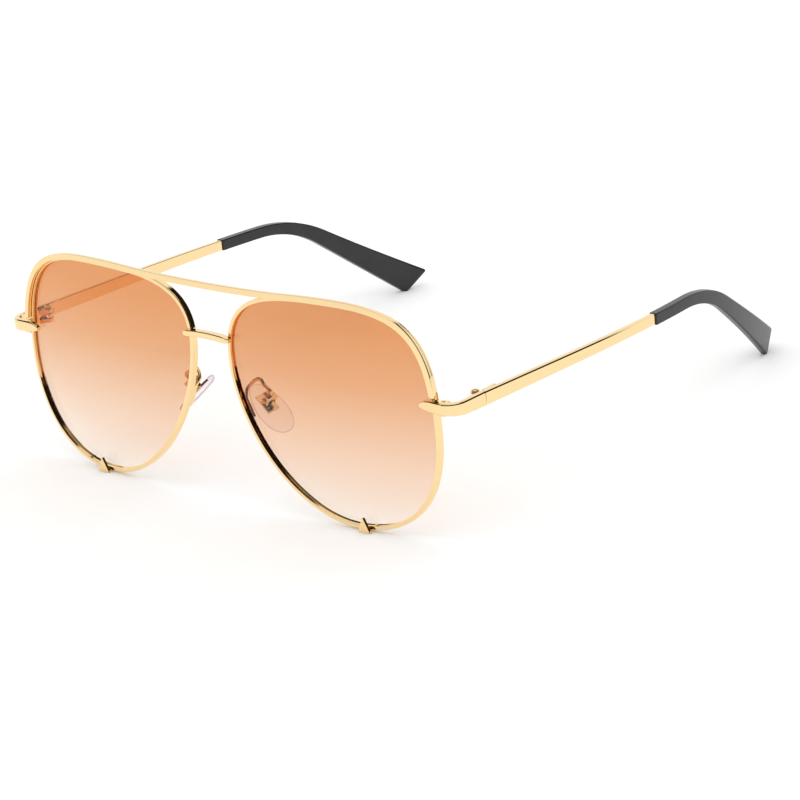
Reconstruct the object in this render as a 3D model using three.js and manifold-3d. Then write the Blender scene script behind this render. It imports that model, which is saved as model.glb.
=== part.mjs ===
// Aviator sunglasses: two flat-wire rims under one brow bar, a lower bridge, folding temples
// with moulded tips, and rocking nose pads. Millimetres, +Z up, front towards -Y, the wearer's
// left side at +X. The frame stands on its two rim feet and the corners of its temple tips.
import * as THREE from 'three';
import { mergeVertices } from 'three/addons/utils/BufferGeometryUtils.js';
import Module from 'manifold-3d';

const wasm = await Module();
wasm.setup();

// ---------------------------------------------------------------- driving dimensions
const deg = THREE.MathUtils.degToRad;

// Lens opening, seen square on: a box with four quarter curves drawn inside it
const LENS_WIDTH = 62;
const LENS_HEIGHT = 54.4;
const LENS_SPACING = 14.2;      // between the two openings at the nose
const TOP_POINT_X = 1.2;        // where the outline touches its box, from the box's centre
const OUTER_POINT_Z = -0.3;
const BOTTOM_POINT_X = 5.2;
const INNER_POINT_Z = 11.7;
const FULLNESS = {              // length of each curve's handles, as a share of its box
  topOuter: [0.69, 0.88],
  outerBottom: [0.33, 0.88],
  bottomInner: [0.56, 0.42],
  innerTop: [0.94, 0.52],
};
const OUTLINE_STEPS = 72;
const BASE_RADIUS = 215;        // curvature of lenses and rims
const WRAP = deg(3.4);          // each front turned back towards the temples
const LEAN = deg(2.8);          // tops leaning back as the frame stands

// Rim wire and lens
const RIM_WIDTH = 1.05;
const RIM_DEPTH = 1.7;
const GROOVE_DEPTH = 0.55;      // of the V inside the rim, and of the V round the lens
const LENS_FROM_FRONT = 0.7;
const LENS_THICKNESS = 0.85;
const LENS_CLEARANCE = 0.1;
const RIM_SPLIT = 0.4;
const SOLDER_GAP = 0.05;        // between pieces that are soldered together
const FRONT_CLEARANCE = 0.15;   // more, before the leaning rim, for what stands upright on it
const FOOT_THICKNESS = 0.35;    // of the rim foot under the rim

// Brow bar and bridge
const BAR_HEIGHT = 1.5;
const BAR_DEPTH = 1.1;
const BAR_INSET = 0.45;         // bare rim left under the bar
const BAR_LEAVES_X = -10;       // where the bar leaves the rim, from the opening's centre
const BAR_HANDLE = 15;
const BAR_ABOVE_END = 0.35;     // from the end-piece's top to the bar's lower end
const BAR_SPAN_STEPS = 20;
const BRIDGE_ABOVE_INNER = 2.86; // above the opening's innermost point
const BRIDGE_ARCH = 0.5;
const BRIDGE_HEIGHT = 1.6;
const BRIDGE_DEPTH = 1.8;
const BRIDGE_OVERLAP = 0.75;    // of the pointed ends over each lens
const BRIDGE_TIP = 1.6;
const BRIDGE_TIP_HEIGHT = 0.55; // of its very ends, as shares of the full height and depth
const BRIDGE_TIP_DEPTH = 0.7;
const BRIDGE_BEVEL = 0.35;      // as a share of half its height
const BRIDGE_STEPS = 14;

// End-pieces and temples
const STRIP_THICKNESS = 1.5;
const END_HEIGHT = 3.6;         // at the hinge
const END_FRONT_HEIGHT = 2.9;   // where it crosses the rim
const END_RISE = 0.5;           // of its top towards the front
const END_Z = 34.25;
const END_OVERHANG = 7.0;       // outer face beyond the rim's outer edge
const END_TIP_OVERLAP = 3.0;    // of the leaf-shaped end over the lens
const END_TIP_LENGTH = 5.0;
const END_TIP_HEIGHT = 0.2;     // of the blunt nose, as a share of the full height
const END_TIP_FROM_TOP = 0.62;  // share of the narrowing that is taken from the top
const END_TIP_BACK = 0.5;       // the nose is thinner than the strip by this
const END_BEND_GROWTH = 0.6;    // share of the change of height that is made in the bend
const END_BEND_RADIUS = 5.0;
const HINGE_Y = 14.5;           // from the middle of the lens front back to the hinge pin
const JOINT_GAP = 0.1;
const TEMPLE_SLOPE = deg(2.8);
const TEMPLE_END_HEIGHT = 2.8;
const TEMPLE_STEP = 0.1;        // the temple is this much lower than the end-piece
const TEMPLE_CORNER = 0.25;
const TIP_START = 64.7;         // along the temple from the hinge
const EAR_DISTANCE = 89.4;      // hinge to the corner of the ear bend
const EAR_DROP = deg(38.3);     // below level
const EAR_RADIUS = 34;
const TOE_IN = 14.1;            // of the tip's end towards the middle
const TOE_START = 21;           // behind the hinge
const TIP_THICKNESS = 2.3;
const TIP_HEIGHT = 3.0;
const TIP_END_HEIGHT = 8.0;
const TIP_END_CUT = deg(15);
const TIP_ROUNDING = 0.7;
const TIP_CORNER = 0.3;         // cut off its long edges where it starts
const TIP_CORNER_GROWTH = 0.4;  // and this much more at its end
const TIP_FLARE = 1.5;          // power of the widening towards the end
const CORE_WIDTH = 0.9;
const CORE_HEIGHT = 1.5;
const CORE_SHORT_OF_END = 9;
const CORE_CLEARANCE = 0.12;
const CORE_END_CLEARANCE = 0.3;
const CORE_CORNER = 0.2;
const CORE_STEPS = 14;

// Hinge
const PIN_INSET = 3.2;          // pin axis in from the outer face
const KNUCKLE_RADIUS = 1.2;
const KNUCKLE_HEIGHT = 1.15;
const KNUCKLE_GAP = 0.08;
const PIN_RADIUS = 0.5;
const STACK_DROP = 0.5;         // knuckles below the strip's middle
const PIN_CLEARANCE = 0.06;
const LEAF_THICKNESS = 0.75;
const LEAF_LENGTH = 4.2;
const LEAF_HEIGHT = 3.0;
const LEAF_START = 1.45;        // from the pin axis
const NECK_LENGTH = 1.2;        // of the knuckles' hold on the leaf
const NECK_OUTSIDE = [0.9, 0.3];        // where a neck leaves its knuckle, in knuckle radii
const NECK_INSIDE = [-0.8, 0.55];
const SCREW_HEAD_RADIUS = 0.95;
const SCREW_HEAD_HEIGHT = 0.42;
const SCREW_SLOT = 0.22;

// Rim lock behind the end-piece
const LOCK_WIDTH = 2.4;
const LOCK_DEPTH = 2.6;
const LOCK_HEIGHT = 1.3;
const LOCK_FROM_RIM = 0.12;     // beside the rim's outer edge
const LOCK_FROM_END = 0.25;     // behind the end-piece
const LOCK_SCREW_RADIUS = 0.5;
const LOCK_HEAD_HEIGHT = 0.35;
const SMALL_HEAD = 1.8;         // head of a lock or pad screw, in screw radii

// Rim foot: a pointed clip round the bottom of each rim
const FOOT_FROM_BOTTOM = 1.9;   // outwards from the opening's lowest point
const FOOT_WIDTH = 4.0;
const FOOT_POINT_WIDTH = 0.4;
const FOOT_POINT_Z = 3.9;
const FOOT_PLATE = 0.8;
const FOOT_REACH = 1.5;         // under the rim
const FOOT_SOLE = 0.7;          // width of what goes under the rim, as a share of the clip's

// Nose pads
const PAD_AXIS_Z = 27.2;        // middle of the rocking screw, above the table
const PAD_FROM_RIM = [2.9, 5.91];  // and from the inner edge of the rim's front at that height
const PAD_SPLAY = deg(48);      // pad bottoms outwards
const PAD_TURN = deg(20);       // contact faces backwards
const PAD_ROLL = deg(12);       // pad tops forwards
const PAD_LENGTH = 15.2;
const PAD_WIDTH = 7.8;
const PAD_THICKNESS = 1.7;
const PAD_TAPER = 0.16;
const PAD_BELOW_AXIS = 1.5;
const PAD_BACK = 1.5;           // from the screw axis to the pad's back face
const INSERT_LENGTH = 5.2;
const INSERT_WIDTH = 3.2;
const INSERT_THICKNESS = 0.5;
const INSERT_CLEARANCE = 0.1;
const LUG_LENGTH = 1.8;
const LUG_WIDTH = 1.3;
const LUG_REACH = 0.85;         // beyond the screw axis
const BOX_WALL = 0.55;
const BOX_LENGTH = 2.7;
const BOX_CLEARANCE = 0.16;
const BOX_DEPTH_CLEARANCE = 0.25;
const BOX_RIM = 0.5;            // box walls past the screw axis towards the pad
const PAD_SCREW_RADIUS = 0.4;
const PAD_HEAD_HEIGHT = 0.4;

// Pad arm: wire soldered up the back of the rim, then over in a peak and down to the box
const WIRE_RADIUS = 0.5;
const WIRE_FROM_RIM = 0.16;
const WIRE_SEAT = 2.2;          // soldered up and down from the pad screw's height
const WIRE_OFF_RIM = new THREE.Vector3(-0.3, 1.6, 2.0);     // first turn, from the seat's top
const WIRE_PEAK = new THREE.Vector3(-1.8, -0.5, 5.1);       // from the pad screw
const WIRE_DESCENT = new THREE.Vector3(-0.3, -0.5, 3.7);
const WIRE_END = 1.3;           // last turn, out from the box
const WIRE_STEPS = 28;

const metal = { color: 0xf0cf8e, metalness: 1.0, roughness: 0.18 };
const gold = new THREE.MeshStandardMaterial(metal);
const steel = new THREE.MeshStandardMaterial({ color: 0xd9bd85, metalness: 1.0, roughness: 0.3 });
const tint = new THREE.MeshStandardMaterial({
  color: 0xe5a878, metalness: 0.0, roughness: 0.05, transparent: true, opacity: 0.65,
});
const acetate = new THREE.MeshStandardMaterial({ color: 0x3b3b3d, metalness: 0.0, roughness: 0.35 });
const silicone = new THREE.MeshStandardMaterial({
  color: 0xead8d6, metalness: 0.0, roughness: 0.2, transparent: true, opacity: 0.5,
});

// ---------------------------------------------------------------- geometry helpers
function signedVolume(geometry) {
  const position = geometry.getAttribute('position');
  const [a, b, c] = [new THREE.Vector3(), new THREE.Vector3(), new THREE.Vector3()];
  let volume = 0;
  for (let i = 0; i < geometry.index.count; i += 3) {
    a.fromBufferAttribute(position, geometry.index.getX(i));
    b.fromBufferAttribute(position, geometry.index.getX(i + 1));
    c.fromBufferAttribute(position, geometry.index.getX(i + 2));
    volume += a.dot(b.cross(c)) / 6;
  }
  return volume;
}

// Only positions, shared corners merged, faces pointing out
function tidy(geometry) {
  for (const name of ['normal', 'uv']) geometry.deleteAttribute(name);
  const merged = mergeVertices(geometry, 1e-4);
  if (signedVolume(merged) < 0) flip(merged);
  return merged;
}

function flip(geometry) {
  const index = geometry.index.array;
  for (let i = 0; i < index.length; i += 3) [index[i], index[i + 1]] = [index[i + 1], index[i]];
}

// A skin over a row of like sections; an open row gets its two ends closed
function loft(sections, closed = false) {
  const count = sections[0].length;
  const points = sections.flat();
  const index = [];
  const rows = closed ? sections.length : sections.length - 1;
  for (let row = 0; row < rows; row += 1) {
    const here = row * count;
    const next = ((row + 1) % sections.length) * count;
    for (let i = 0; i < count; i += 1) {
      const j = (i + 1) % count;
      index.push(here + i, next + i, next + j, here + i, next + j, here + j);
    }
  }
  if (!closed) {
    const last = (sections.length - 1) * count;
    for (const [a, b, c] of capTriangles(sections[0])) index.push(a, b, c);
    for (const [a, b, c] of capTriangles(sections.at(-1))) index.push(last + c, last + b, last + a);
  }
  const geometry = new THREE.BufferGeometry().setFromPoints(points);
  geometry.setIndex(index);
  return tidy(geometry);
}

// Triangles over one flat section, wherever it stands in space
function capTriangles(section) {
  const origin = section[0];
  const normal = new THREE.Vector3();
  for (let i = 1; i < section.length - 1; i += 1) {
    const a = section[i].clone().sub(origin);
    normal.add(a.cross(section[i + 1].clone().sub(origin)));
  }
  normal.normalize();
  const across = section[1].clone().sub(origin).normalize();
  const up = normal.clone().cross(across);
  const flat = section.map((point) => {
    const offset = point.clone().sub(origin);
    return new THREE.Vector2(offset.dot(across), offset.dot(up));
  });
  return THREE.ShapeUtils.triangulateShape(flat, []);
}

function solid(geometry) {
  const clean = tidy(geometry);
  return new wasm.Manifold(new wasm.Mesh({
    numProp: 3,
    vertProperties: new Float32Array(clean.getAttribute('position').array),
    triVerts: new Uint32Array(clean.index.array),
  }));
}

function fromSolid(body) {
  const mesh = body.getMesh();
  const geometry = new THREE.BufferGeometry();
  geometry.setAttribute('position', new THREE.BufferAttribute(mesh.vertProperties, 3));
  geometry.setIndex(new THREE.BufferAttribute(mesh.triVerts, 1));
  return geometry;
}

function block(width, depth, height, x = 0, y = 0, z = 0) {
  return new THREE.BoxGeometry(width, depth, height).translate(x, y, z);
}

// Round bar along Z from low to high
function bar(radius, low, high, sides = 20) {
  const geometry = new THREE.CylinderGeometry(radius, radius, high - low, sides);
  return geometry.rotateX(Math.PI / 2).translate(0, 0, (low + high) / 2);
}

// A flat shape drawn in X and Y, standing from low to high
function plate(points, low, high) {
  const shape = new THREE.Shape(points.map(([x, y]) => new THREE.Vector2(x, y)));
  return new THREE.ExtrudeGeometry(shape, { depth: high - low, bevelEnabled: false })
    .translate(0, 0, low);
}

// Slotted screw along Z with its head on top
function screw(radius, headRadius, headHeight, length) {
  const profile = [
    [0, -length], [radius, -length], [radius, 0],
    [headRadius, 0], [headRadius, headHeight * 0.6], [headRadius * 0.75, headHeight], [0, headHeight],
  ];
  const turned = new THREE.LatheGeometry(profile.map(([r, z]) => new THREE.Vector2(r, z)), 20);
  const body = solid(turned.rotateX(Math.PI / 2));
  const slot = block(headRadius * 3, SCREW_SLOT, headHeight, 0, 0, headHeight);
  return fromSolid(body.subtract(solid(slot)));
}

function range(from, to, steps) {
  return Array.from({ length: steps + 1 }, (_, i) => from + ((to - from) * i) / steps);
}

// From a starting share up to the whole
const grown = (start, share) => start + (1 - start) * share;

// ---------------------------------------------------------------- lens outline
function lensOutline() {
  const halfWidth = LENS_WIDTH / 2;
  const halfHeight = LENS_HEIGHT / 2;
  const top = new THREE.Vector2(TOP_POINT_X, halfHeight);
  const outer = new THREE.Vector2(halfWidth, OUTER_POINT_Z);
  const bottom = new THREE.Vector2(BOTTOM_POINT_X, -halfHeight);
  const inner = new THREE.Vector2(-halfWidth, INNER_POINT_Z);
  const shape = new THREE.Shape();
  shape.moveTo(top.x, top.y);
  const quarter = (from, to, fullness, level) => {
    const dx = (to.x - from.x);
    const dz = (to.y - from.y);
    const first = level ? [from.x + dx * fullness[0], from.y] : [from.x, from.y + dz * fullness[0]];
    const second = level ? [to.x, to.y - dz * fullness[1]] : [to.x - dx * fullness[1], to.y];
    shape.bezierCurveTo(...first, ...second, to.x, to.y);
  };
  quarter(top, outer, FULLNESS.topOuter, true);
  quarter(outer, bottom, FULLNESS.outerBottom, false);
  quarter(bottom, inner, FULLNESS.bottomInner, true);
  quarter(inner, top, FULLNESS.innerTop, false);
  const points = shape.getSpacedPoints(OUTLINE_STEPS).slice(0, OUTLINE_STEPS);
  return points.map((point, i) => {
    const before = points.at(i - 1);
    const after = points[(i + 1) % OUTLINE_STEPS];
    const along = after.clone().sub(before).normalize();
    return { x: point.x, z: point.y, along, out: new THREE.Vector2(-along.y, along.x) };
  });
}

const outline = lensOutline();

// Depth of the curved front at a place on it
const sag = (x, z) => (x * x + z * z) / (2 * BASE_RADIUS);

// A point beside the outline: out from the opening's edge and back from the rim's front face
function beside(spot, out, back, along = 0) {
  const x = spot.x + spot.out.x * out + spot.along.x * along;
  const z = spot.z + spot.out.y * out + spot.along.y * along;
  return new THREE.Vector3(x, sag(x, z) + back, z);
}

const outerHalf = outline.filter((spot) => spot.x > BOTTOM_POINT_X);
const innerHalf = outline.filter((spot) => spot.x <= BOTTOM_POINT_X);
const lowerHalf = outline.filter((spot) => spot.z < 0);

// The outline's place nearest a height, on one half of it
function spotAt(height, half) {
  const gap = (spot) => Math.abs(spot.z - height);
  return half.reduce((best, spot) => (gap(spot) < gap(best) ? spot : best));
}

// The outline from one place round to another, in its own order
function stretch(from, to) {
  const start = outline.indexOf(from);
  const length = (outline.indexOf(to) - start + OUTLINE_STEPS) % OUTLINE_STEPS || OUTLINE_STEPS;
  return Array.from({ length: length + 1 }, (_, i) => outline[(start + i) % OUTLINE_STEPS]);
}

// The front is lifted until the back of its rim clears the rim foot under it
const LENS_X = (LENS_SPACING + LENS_WIDTH) / 2;
const front = new THREE.Group();
front.rotation.set(-LEAN, 0, WRAP);
front.updateMatrixWorld(true);
const toWorld = (point) => point.clone().applyMatrix4(front.matrixWorld);
const lowest = Math.min(...outline.map((spot) => toWorld(beside(spot, RIM_WIDTH, RIM_DEPTH)).z));
const LENS_Z = FOOT_THICKNESS + SOLDER_GAP - lowest;
front.position.set(LENS_X, 0, LENS_Z);
front.updateMatrixWorld(true);

// Where the rim's front, so far out from the opening, crosses a level of x or z on one half
function rimPoint(half, axis, level, out) {
  const edge = half.map((spot) => toWorld(beside(spot, out, 0)));
  const over = edge.filter((point) => point[axis] >= level);
  const under = edge.filter((point) => point[axis] < level);
  const after = over.reduce((a, b) => (b[axis] < a[axis] ? b : a));
  const before = under.reduce((a, b) => (b[axis] > a[axis] ? b : a)).clone();
  return before.lerp(after, (level - before[axis]) / (after[axis] - before[axis]));
}

// ---------------------------------------------------------------- rim and lens
const splitSpot = spotAt(END_Z - LENS_Z, outerHalf);

const lensBack = LENS_FROM_FRONT + LENS_THICKNESS;
const lensMiddle = (LENS_FROM_FRONT + lensBack) / 2;

function rimGeometry() {
  const wire = [
    [0, 0], [RIM_WIDTH, 0], [RIM_WIDTH, RIM_DEPTH], [0, RIM_DEPTH],
    [0, lensBack], [GROOVE_DEPTH, lensMiddle], [0, LENS_FROM_FRONT],
  ];
  const spots = stretch(splitSpot, splitSpot);
  const last = spots.length - 1;
  return loft(spots.map((spot, i) => {
    const along = { 0: RIM_SPLIT / 2, [last]: -RIM_SPLIT / 2 }[i] ?? 0;
    return wire.map(([out, back]) => beside(spot, out, back, along));
  }));
}

// Rings from the middle of the front face, over the V edge, to the middle of the back face
function lensGeometry() {
  const inner = (share, back) => outline.map((spot) => {
    const [x, z] = [spot.x * share, spot.z * share];
    return new THREE.Vector3(x, sag(x, z) + back, z);
  });
  const edge = (out, back) => outline.map((spot) => beside(spot, out - LENS_CLEARANCE, back));
  const rings = [
    inner(0.4, LENS_FROM_FRONT), inner(0.75, LENS_FROM_FRONT), edge(0, LENS_FROM_FRONT),
    edge(GROOVE_DEPTH, lensMiddle),
    edge(0, lensBack), inner(0.75, lensBack), inner(0.4, lensBack),
  ];
  const middles = [new THREE.Vector3(0, LENS_FROM_FRONT, 0), new THREE.Vector3(0, lensBack, 0)];
  const count = OUTLINE_STEPS;
  const [frontMiddle, backMiddle] = [rings.length * count, rings.length * count + 1];
  const index = [];
  for (let i = 0; i < count; i += 1) {
    const j = (i + 1) % count;
    for (let ring = 0; ring < rings.length - 1; ring += 1) {
      const [here, next] = [ring * count, (ring + 1) * count];
      index.push(here + i, next + i, next + j, here + i, next + j, here + j);
    }
    const last = (rings.length - 1) * count;
    index.push(frontMiddle, i, j, backMiddle, last + j, last + i);
  }
  const geometry = new THREE.BufferGeometry().setFromPoints([...rings.flat(), ...middles]);
  geometry.setIndex(index);
  return tidy(geometry);
}

// ---------------------------------------------------------------- brow bar and bridge
function browBarGeometry() {
  const lowestEnd = END_Z + END_HEIGHT / 2 + END_RISE + BAR_ABOVE_END - LENS_Z;
  const low = outerHalf.filter((spot) => spot.z > lowestEnd).reduce((a, b) => (b.z < a.z ? b : a));
  const upper = outline.filter((spot) => spot.z > INNER_POINT_Z && spot.x < TOP_POINT_X);
  const nearer = (a, b) => (Math.abs(a.x - BAR_LEAVES_X) < Math.abs(b.x - BAR_LEAVES_X) ? a : b);
  const leave = upper.reduce((best, spot) => nearer(spot, best));
  const corners = [
    [BAR_INSET, -SOLDER_GAP], [BAR_INSET + BAR_HEIGHT, -SOLDER_GAP],
    [BAR_INSET + BAR_HEIGHT, -SOLDER_GAP - BAR_DEPTH], [BAR_INSET, -SOLDER_GAP - BAR_DEPTH],
  ];
  const overRim = stretch(leave, low).reverse()
    .map((spot) => corners.map(([out, back]) => toWorld(beside(spot, out, back))));
  const mirror = (point) => point.clone().multiply(new THREE.Vector3(-1, 1, 1));
  const direction = overRim.at(-1)[0].clone().sub(overRim.at(-2)[0]).normalize();
  const spans = overRim.at(-1).map((corner) => {
    const handle = corner.clone().addScaledVector(direction, BAR_HANDLE);
    const span = new THREE.CubicBezierCurve3(corner, handle, mirror(handle), mirror(corner));
    return span.getPoints(BAR_SPAN_STEPS);
  });
  const between = spans[0].slice(1, -1).map((_, i) => spans.map((span) => span[i + 1]));
  const otherRim = overRim.map((section) => section.map(mirror)).reverse();
  return loft([...overRim, ...between, ...otherRim]);
}

function bridgeGeometry() {
  const reach = LENS_SPACING / 2 + BRIDGE_OVERLAP;
  const level = INNER_POINT_Z + BRIDGE_ABOVE_INNER;
  const rimFront = toWorld(beside(spotAt(level, innerHalf), RIM_WIDTH / 2, 0)).y;
  const back = rimFront - SOLDER_GAP - FRONT_CLEARANCE;
  return loft(range(-reach, reach, BRIDGE_STEPS).map((x) => {
    const fromEnd = Math.min(1, (reach - Math.abs(x)) / BRIDGE_TIP);
    const half = (BRIDGE_HEIGHT / 2) * grown(BRIDGE_TIP_HEIGHT, Math.sqrt(fromEnd));
    const z = LENS_Z + level + BRIDGE_ARCH * (1 - (x / reach) ** 2);
    const face = back - BRIDGE_DEPTH * grown(BRIDGE_TIP_DEPTH, Math.sqrt(fromEnd));
    const bevel = half * BRIDGE_BEVEL;
    return [
      [x, back, z - half], [x, back, z + half], [x, face + bevel, z + half],
      [x, face, z + half - bevel], [x, face, z - half + bevel], [x, face + bevel, z - half],
    ].map((p) => new THREE.Vector3(...p));
  }));
}

// ---------------------------------------------------------------- end-piece
const rimOuterX = toWorld(beside(splitSpot, RIM_WIDTH, 0)).x;
const OUTER_X = rimOuterX + END_OVERHANG;
const endBack = toWorld(beside(splitSpot, 0, 0)).y - SOLDER_GAP - FRONT_CLEARANCE;

function endPieceGeometry() {
  const faceY = endBack - STRIP_THICKNESS;
  const tipX = rimOuterX - RIM_WIDTH - END_TIP_OVERLAP;
  const inner = END_BEND_RADIUS - STRIP_THICKNESS;
  const bendX = OUTER_X - END_BEND_RADIUS;
  const bendY = faceY + END_BEND_RADIUS;
  const hingeTop = END_Z + END_HEIGHT / 2;
  const stations = [];
  // leaf-shaped end: both edges draw together towards its blunt nose
  for (const t of range(0, 1, 7).map((share) => share ** 2)) {
    const height = END_FRONT_HEIGHT * grown(END_TIP_HEIGHT, Math.sqrt(1 - (1 - t) ** 2));
    const x = tipX + END_TIP_LENGTH * t;
    const top = hingeTop + END_RISE - END_TIP_FROM_TOP * (END_FRONT_HEIGHT - height);
    stations.push({ face: [x, faceY + END_TIP_BACK * (1 - t)], back: [x, endBack], height, top });
  }
  // bend, then the short leg back to the hinge
  const grow = (share) => ({
    height: END_FRONT_HEIGHT + (END_HEIGHT - END_FRONT_HEIGHT) * share,
    top: hingeTop + END_RISE * (1 - share),
  });
  for (const t of range(0, 1, 12)) {
    const a = (Math.PI / 2) * t;
    const at = (radius) => [bendX + radius * Math.sin(a), bendY - radius * Math.cos(a)];
    stations.push({ face: at(END_BEND_RADIUS), back: at(inner), ...grow(END_BEND_GROWTH * t) });
  }
  const end = HINGE_Y - JOINT_GAP / 2;
  stations.push({ face: [OUTER_X, end], back: [OUTER_X - STRIP_THICKNESS, end], ...grow(1) });
  return loft(stations.map(({ face, back, height, top }) => [
    [...back, top - height], [...back, top], [...face, top], [...face, top - height],
  ].map((p) => new THREE.Vector3(...p))));
}

// ---------------------------------------------------------------- rim lock
// The blocks stand beside the rim where it bulges furthest out over their height
const lockReach = RIM_SPLIT / 2 + LOCK_HEIGHT;
const lockX = LOCK_FROM_RIM + Math.max(...range(END_Z - lockReach, END_Z + lockReach, 4)
  .map((height) => rimPoint(outerHalf, 'z', height, RIM_WIDTH).x));
const lockY = endBack + LOCK_FROM_END;

function lockBlockGeometry(level) {
  const middle = level * (RIM_SPLIT + LOCK_HEIGHT) / 2;
  const body = solid(block(LOCK_WIDTH, LOCK_DEPTH, LOCK_HEIGHT,
    lockX + LOCK_WIDTH / 2, lockY + LOCK_DEPTH / 2, END_Z + middle));
  const bore = bar(LOCK_SCREW_RADIUS + PIN_CLEARANCE, -END_HEIGHT, END_HEIGHT)
    .translate(lockX + LOCK_WIDTH / 2, lockY + LOCK_DEPTH / 2, END_Z);
  return fromSolid(body.subtract(solid(bore)));
}

// ---------------------------------------------------------------- hinge halves
const PIN_X = OUTER_X - PIN_INSET;
const leafOut = PIN_INSET - STRIP_THICKNESS - SOLDER_GAP;
const leafIn = leafOut - LEAF_THICKNESS;
const stackHeight = 3 * KNUCKLE_HEIGHT + 2 * KNUCKLE_GAP;
const stackLow = -stackHeight / 2 - STACK_DROP;

// One hinge half about its pin axis: direction -1 lies on the end-piece, +1 on the temple
function hingeHalfGeometry(direction, levels) {
  const turn = ([x, y]) => [x, y * direction];
  const ordered = (points) => (direction < 0 ? [...points].reverse() : points).map(turn);
  const leafEnd = LEAF_START + LEAF_LENGTH;
  const leaf = [[leafIn, LEAF_START], [leafOut, LEAF_START], [leafOut, leafEnd], [leafIn, leafEnd]];
  const neckEnd = LEAF_START + NECK_LENGTH;
  const [outside, inside] = [NECK_OUTSIDE, NECK_INSIDE].map((pair) => pair.map((r) => r * KNUCKLE_RADIUS));
  const neck = [
    [0, 0], outside, [leafOut, LEAF_START], [leafOut, neckEnd], [leafIn, neckEnd], inside,
  ];
  let body = solid(plate(ordered(leaf), -LEAF_HEIGHT / 2, LEAF_HEIGHT / 2));
  for (const level of levels) {
    const low = stackLow + level * (KNUCKLE_HEIGHT + KNUCKLE_GAP);
    const high = low + KNUCKLE_HEIGHT;
    body = body.add(solid(plate(ordered(neck), low, high)));
    body = body.add(solid(bar(KNUCKLE_RADIUS, low, high)));
  }
  const bore = bar(PIN_RADIUS + PIN_CLEARANCE, -stackHeight, stackHeight);
  return fromSolid(body.subtract(solid(bore)));
}

// ---------------------------------------------------------------- temple and tip
const templeTurn = EAR_DROP - TEMPLE_SLOPE;
const earTangent = EAR_RADIUS * Math.tan(templeTurn / 2);
const straightLength = EAR_DISTANCE / Math.cos(TEMPLE_SLOPE) - earTangent;
const bendLength = EAR_RADIUS * templeTurn;

// Side view of the temple's middle line: a straight, the ear bend, and the dropping straight
function sideLine(distance) {
  const start = { y: HINGE_Y + JOINT_GAP / 2, z: END_Z };
  const straight = Math.min(distance, straightLength);
  const turned = Math.max(0, Math.min(distance - straightLength, bendLength)) / EAR_RADIUS;
  const drop = Math.max(0, distance - straightLength - bendLength);
  const angle = TEMPLE_SLOPE + turned;
  const y = start.y + straight * Math.cos(TEMPLE_SLOPE)
    + EAR_RADIUS * (Math.sin(angle) - Math.sin(TEMPLE_SLOPE)) + drop * Math.cos(EAR_DROP);
  const z = start.z - straight * Math.sin(TEMPLE_SLOPE)
    - EAR_RADIUS * (Math.cos(TEMPLE_SLOPE) - Math.cos(angle)) - drop * Math.sin(EAR_DROP);
  return { y, z, angle };
}

// A rectangular section with cut corners across the line, its far side leaning by shear
function across(distance, width, height, corner, shear = 0) {
  const { y, z, angle } = sideLine(distance);
  const [w, h] = [width / 2, height / 2];
  const profile = [
    [w - corner, -h], [w, -h + corner], [w, h - corner], [w - corner, h],
    [-w + corner, h], [-w, h - corner], [-w, -h + corner], [-w + corner, -h],
  ];
  return profile.map(([side, up]) => {
    const along = up * Math.tan(shear);
    return new THREE.Vector3(
      side,
      y + up * Math.sin(angle) + along * Math.cos(angle),
      z + up * Math.cos(angle) - along * Math.sin(angle),
    );
  });
}

// The drop is as long as it takes to bring the tip's lower corner to the table
const corner = TIP_ROUNDING;
const cornerHeight = TIP_END_HEIGHT / 2 - corner;
const cornerDrop = cornerHeight * (Math.cos(EAR_DROP) - Math.tan(TIP_END_CUT) * Math.sin(EAR_DROP));
const dropLength = (sideLine(straightLength + bendLength).z - cornerDrop) / Math.sin(EAR_DROP);
const templeLength = straightLength + bendLength + dropLength;

const endY = sideLine(templeLength).y;
const toeIn = (y) => {
  const share = Math.max(0, (y - HINGE_Y - TOE_START) / (endY - HINGE_Y - TOE_START));
  return TOE_IN * share ** 3;
};

// Bent into the middle plane's side by the toe-in, about the strip's middle
function placed(sections) {
  const middle = OUTER_X - STRIP_THICKNESS / 2;
  return sections.map((section) => section.map((point) => {
    return new THREE.Vector3(middle + point.x - toeIn(point.y), point.y, point.z);
  }));
}

function coreSections(from, to, spare) {
  const [width, height] = [CORE_WIDTH + 2 * spare, CORE_HEIGHT + 2 * spare];
  return range(from, to, CORE_STEPS).map((s) => across(s, width, height, CORE_CORNER));
}

function templeGeometry() {
  const strip = range(0, TIP_START, 8).map((s) => {
    const height = END_HEIGHT - TEMPLE_STEP + (TEMPLE_END_HEIGHT - END_HEIGHT) * (s / TIP_START);
    return across(s, STRIP_THICKNESS, height, TEMPLE_CORNER);
  });
  const core = coreSections(TIP_START, templeLength - CORE_SHORT_OF_END, 0);
  return loft(placed([...strip, ...core]));
}

function tipGeometry() {
  const start = TIP_START + SOLDER_GAP;
  const widening = (s) => Math.max(0, (s - straightLength) / (templeLength - straightLength)) ** TIP_FLARE;
  const sections = range(start, templeLength - corner, 20).map((s) => {
    const height = TIP_HEIGHT + (TIP_END_HEIGHT - TIP_HEIGHT) * widening(s);
    const shear = TIP_END_CUT * widening(s) ** 2;
    return across(s, TIP_THICKNESS, height, TIP_CORNER + TIP_CORNER_GROWTH * widening(s), shear);
  });
  const endHeight = TIP_END_HEIGHT - 2 * corner;
  const end = across(templeLength, TIP_THICKNESS - corner, endHeight, corner / 2, TIP_END_CUT);
  const body = solid(loft(placed([...sections, end])));
  const coreEnd = templeLength - CORE_SHORT_OF_END + CORE_END_CLEARANCE;
  const cavity = coreSections(TIP_START - CORE_END_CLEARANCE, coreEnd, CORE_CLEARANCE);
  return fromSolid(body.subtract(solid(loft(placed(cavity)))));
}

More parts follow.
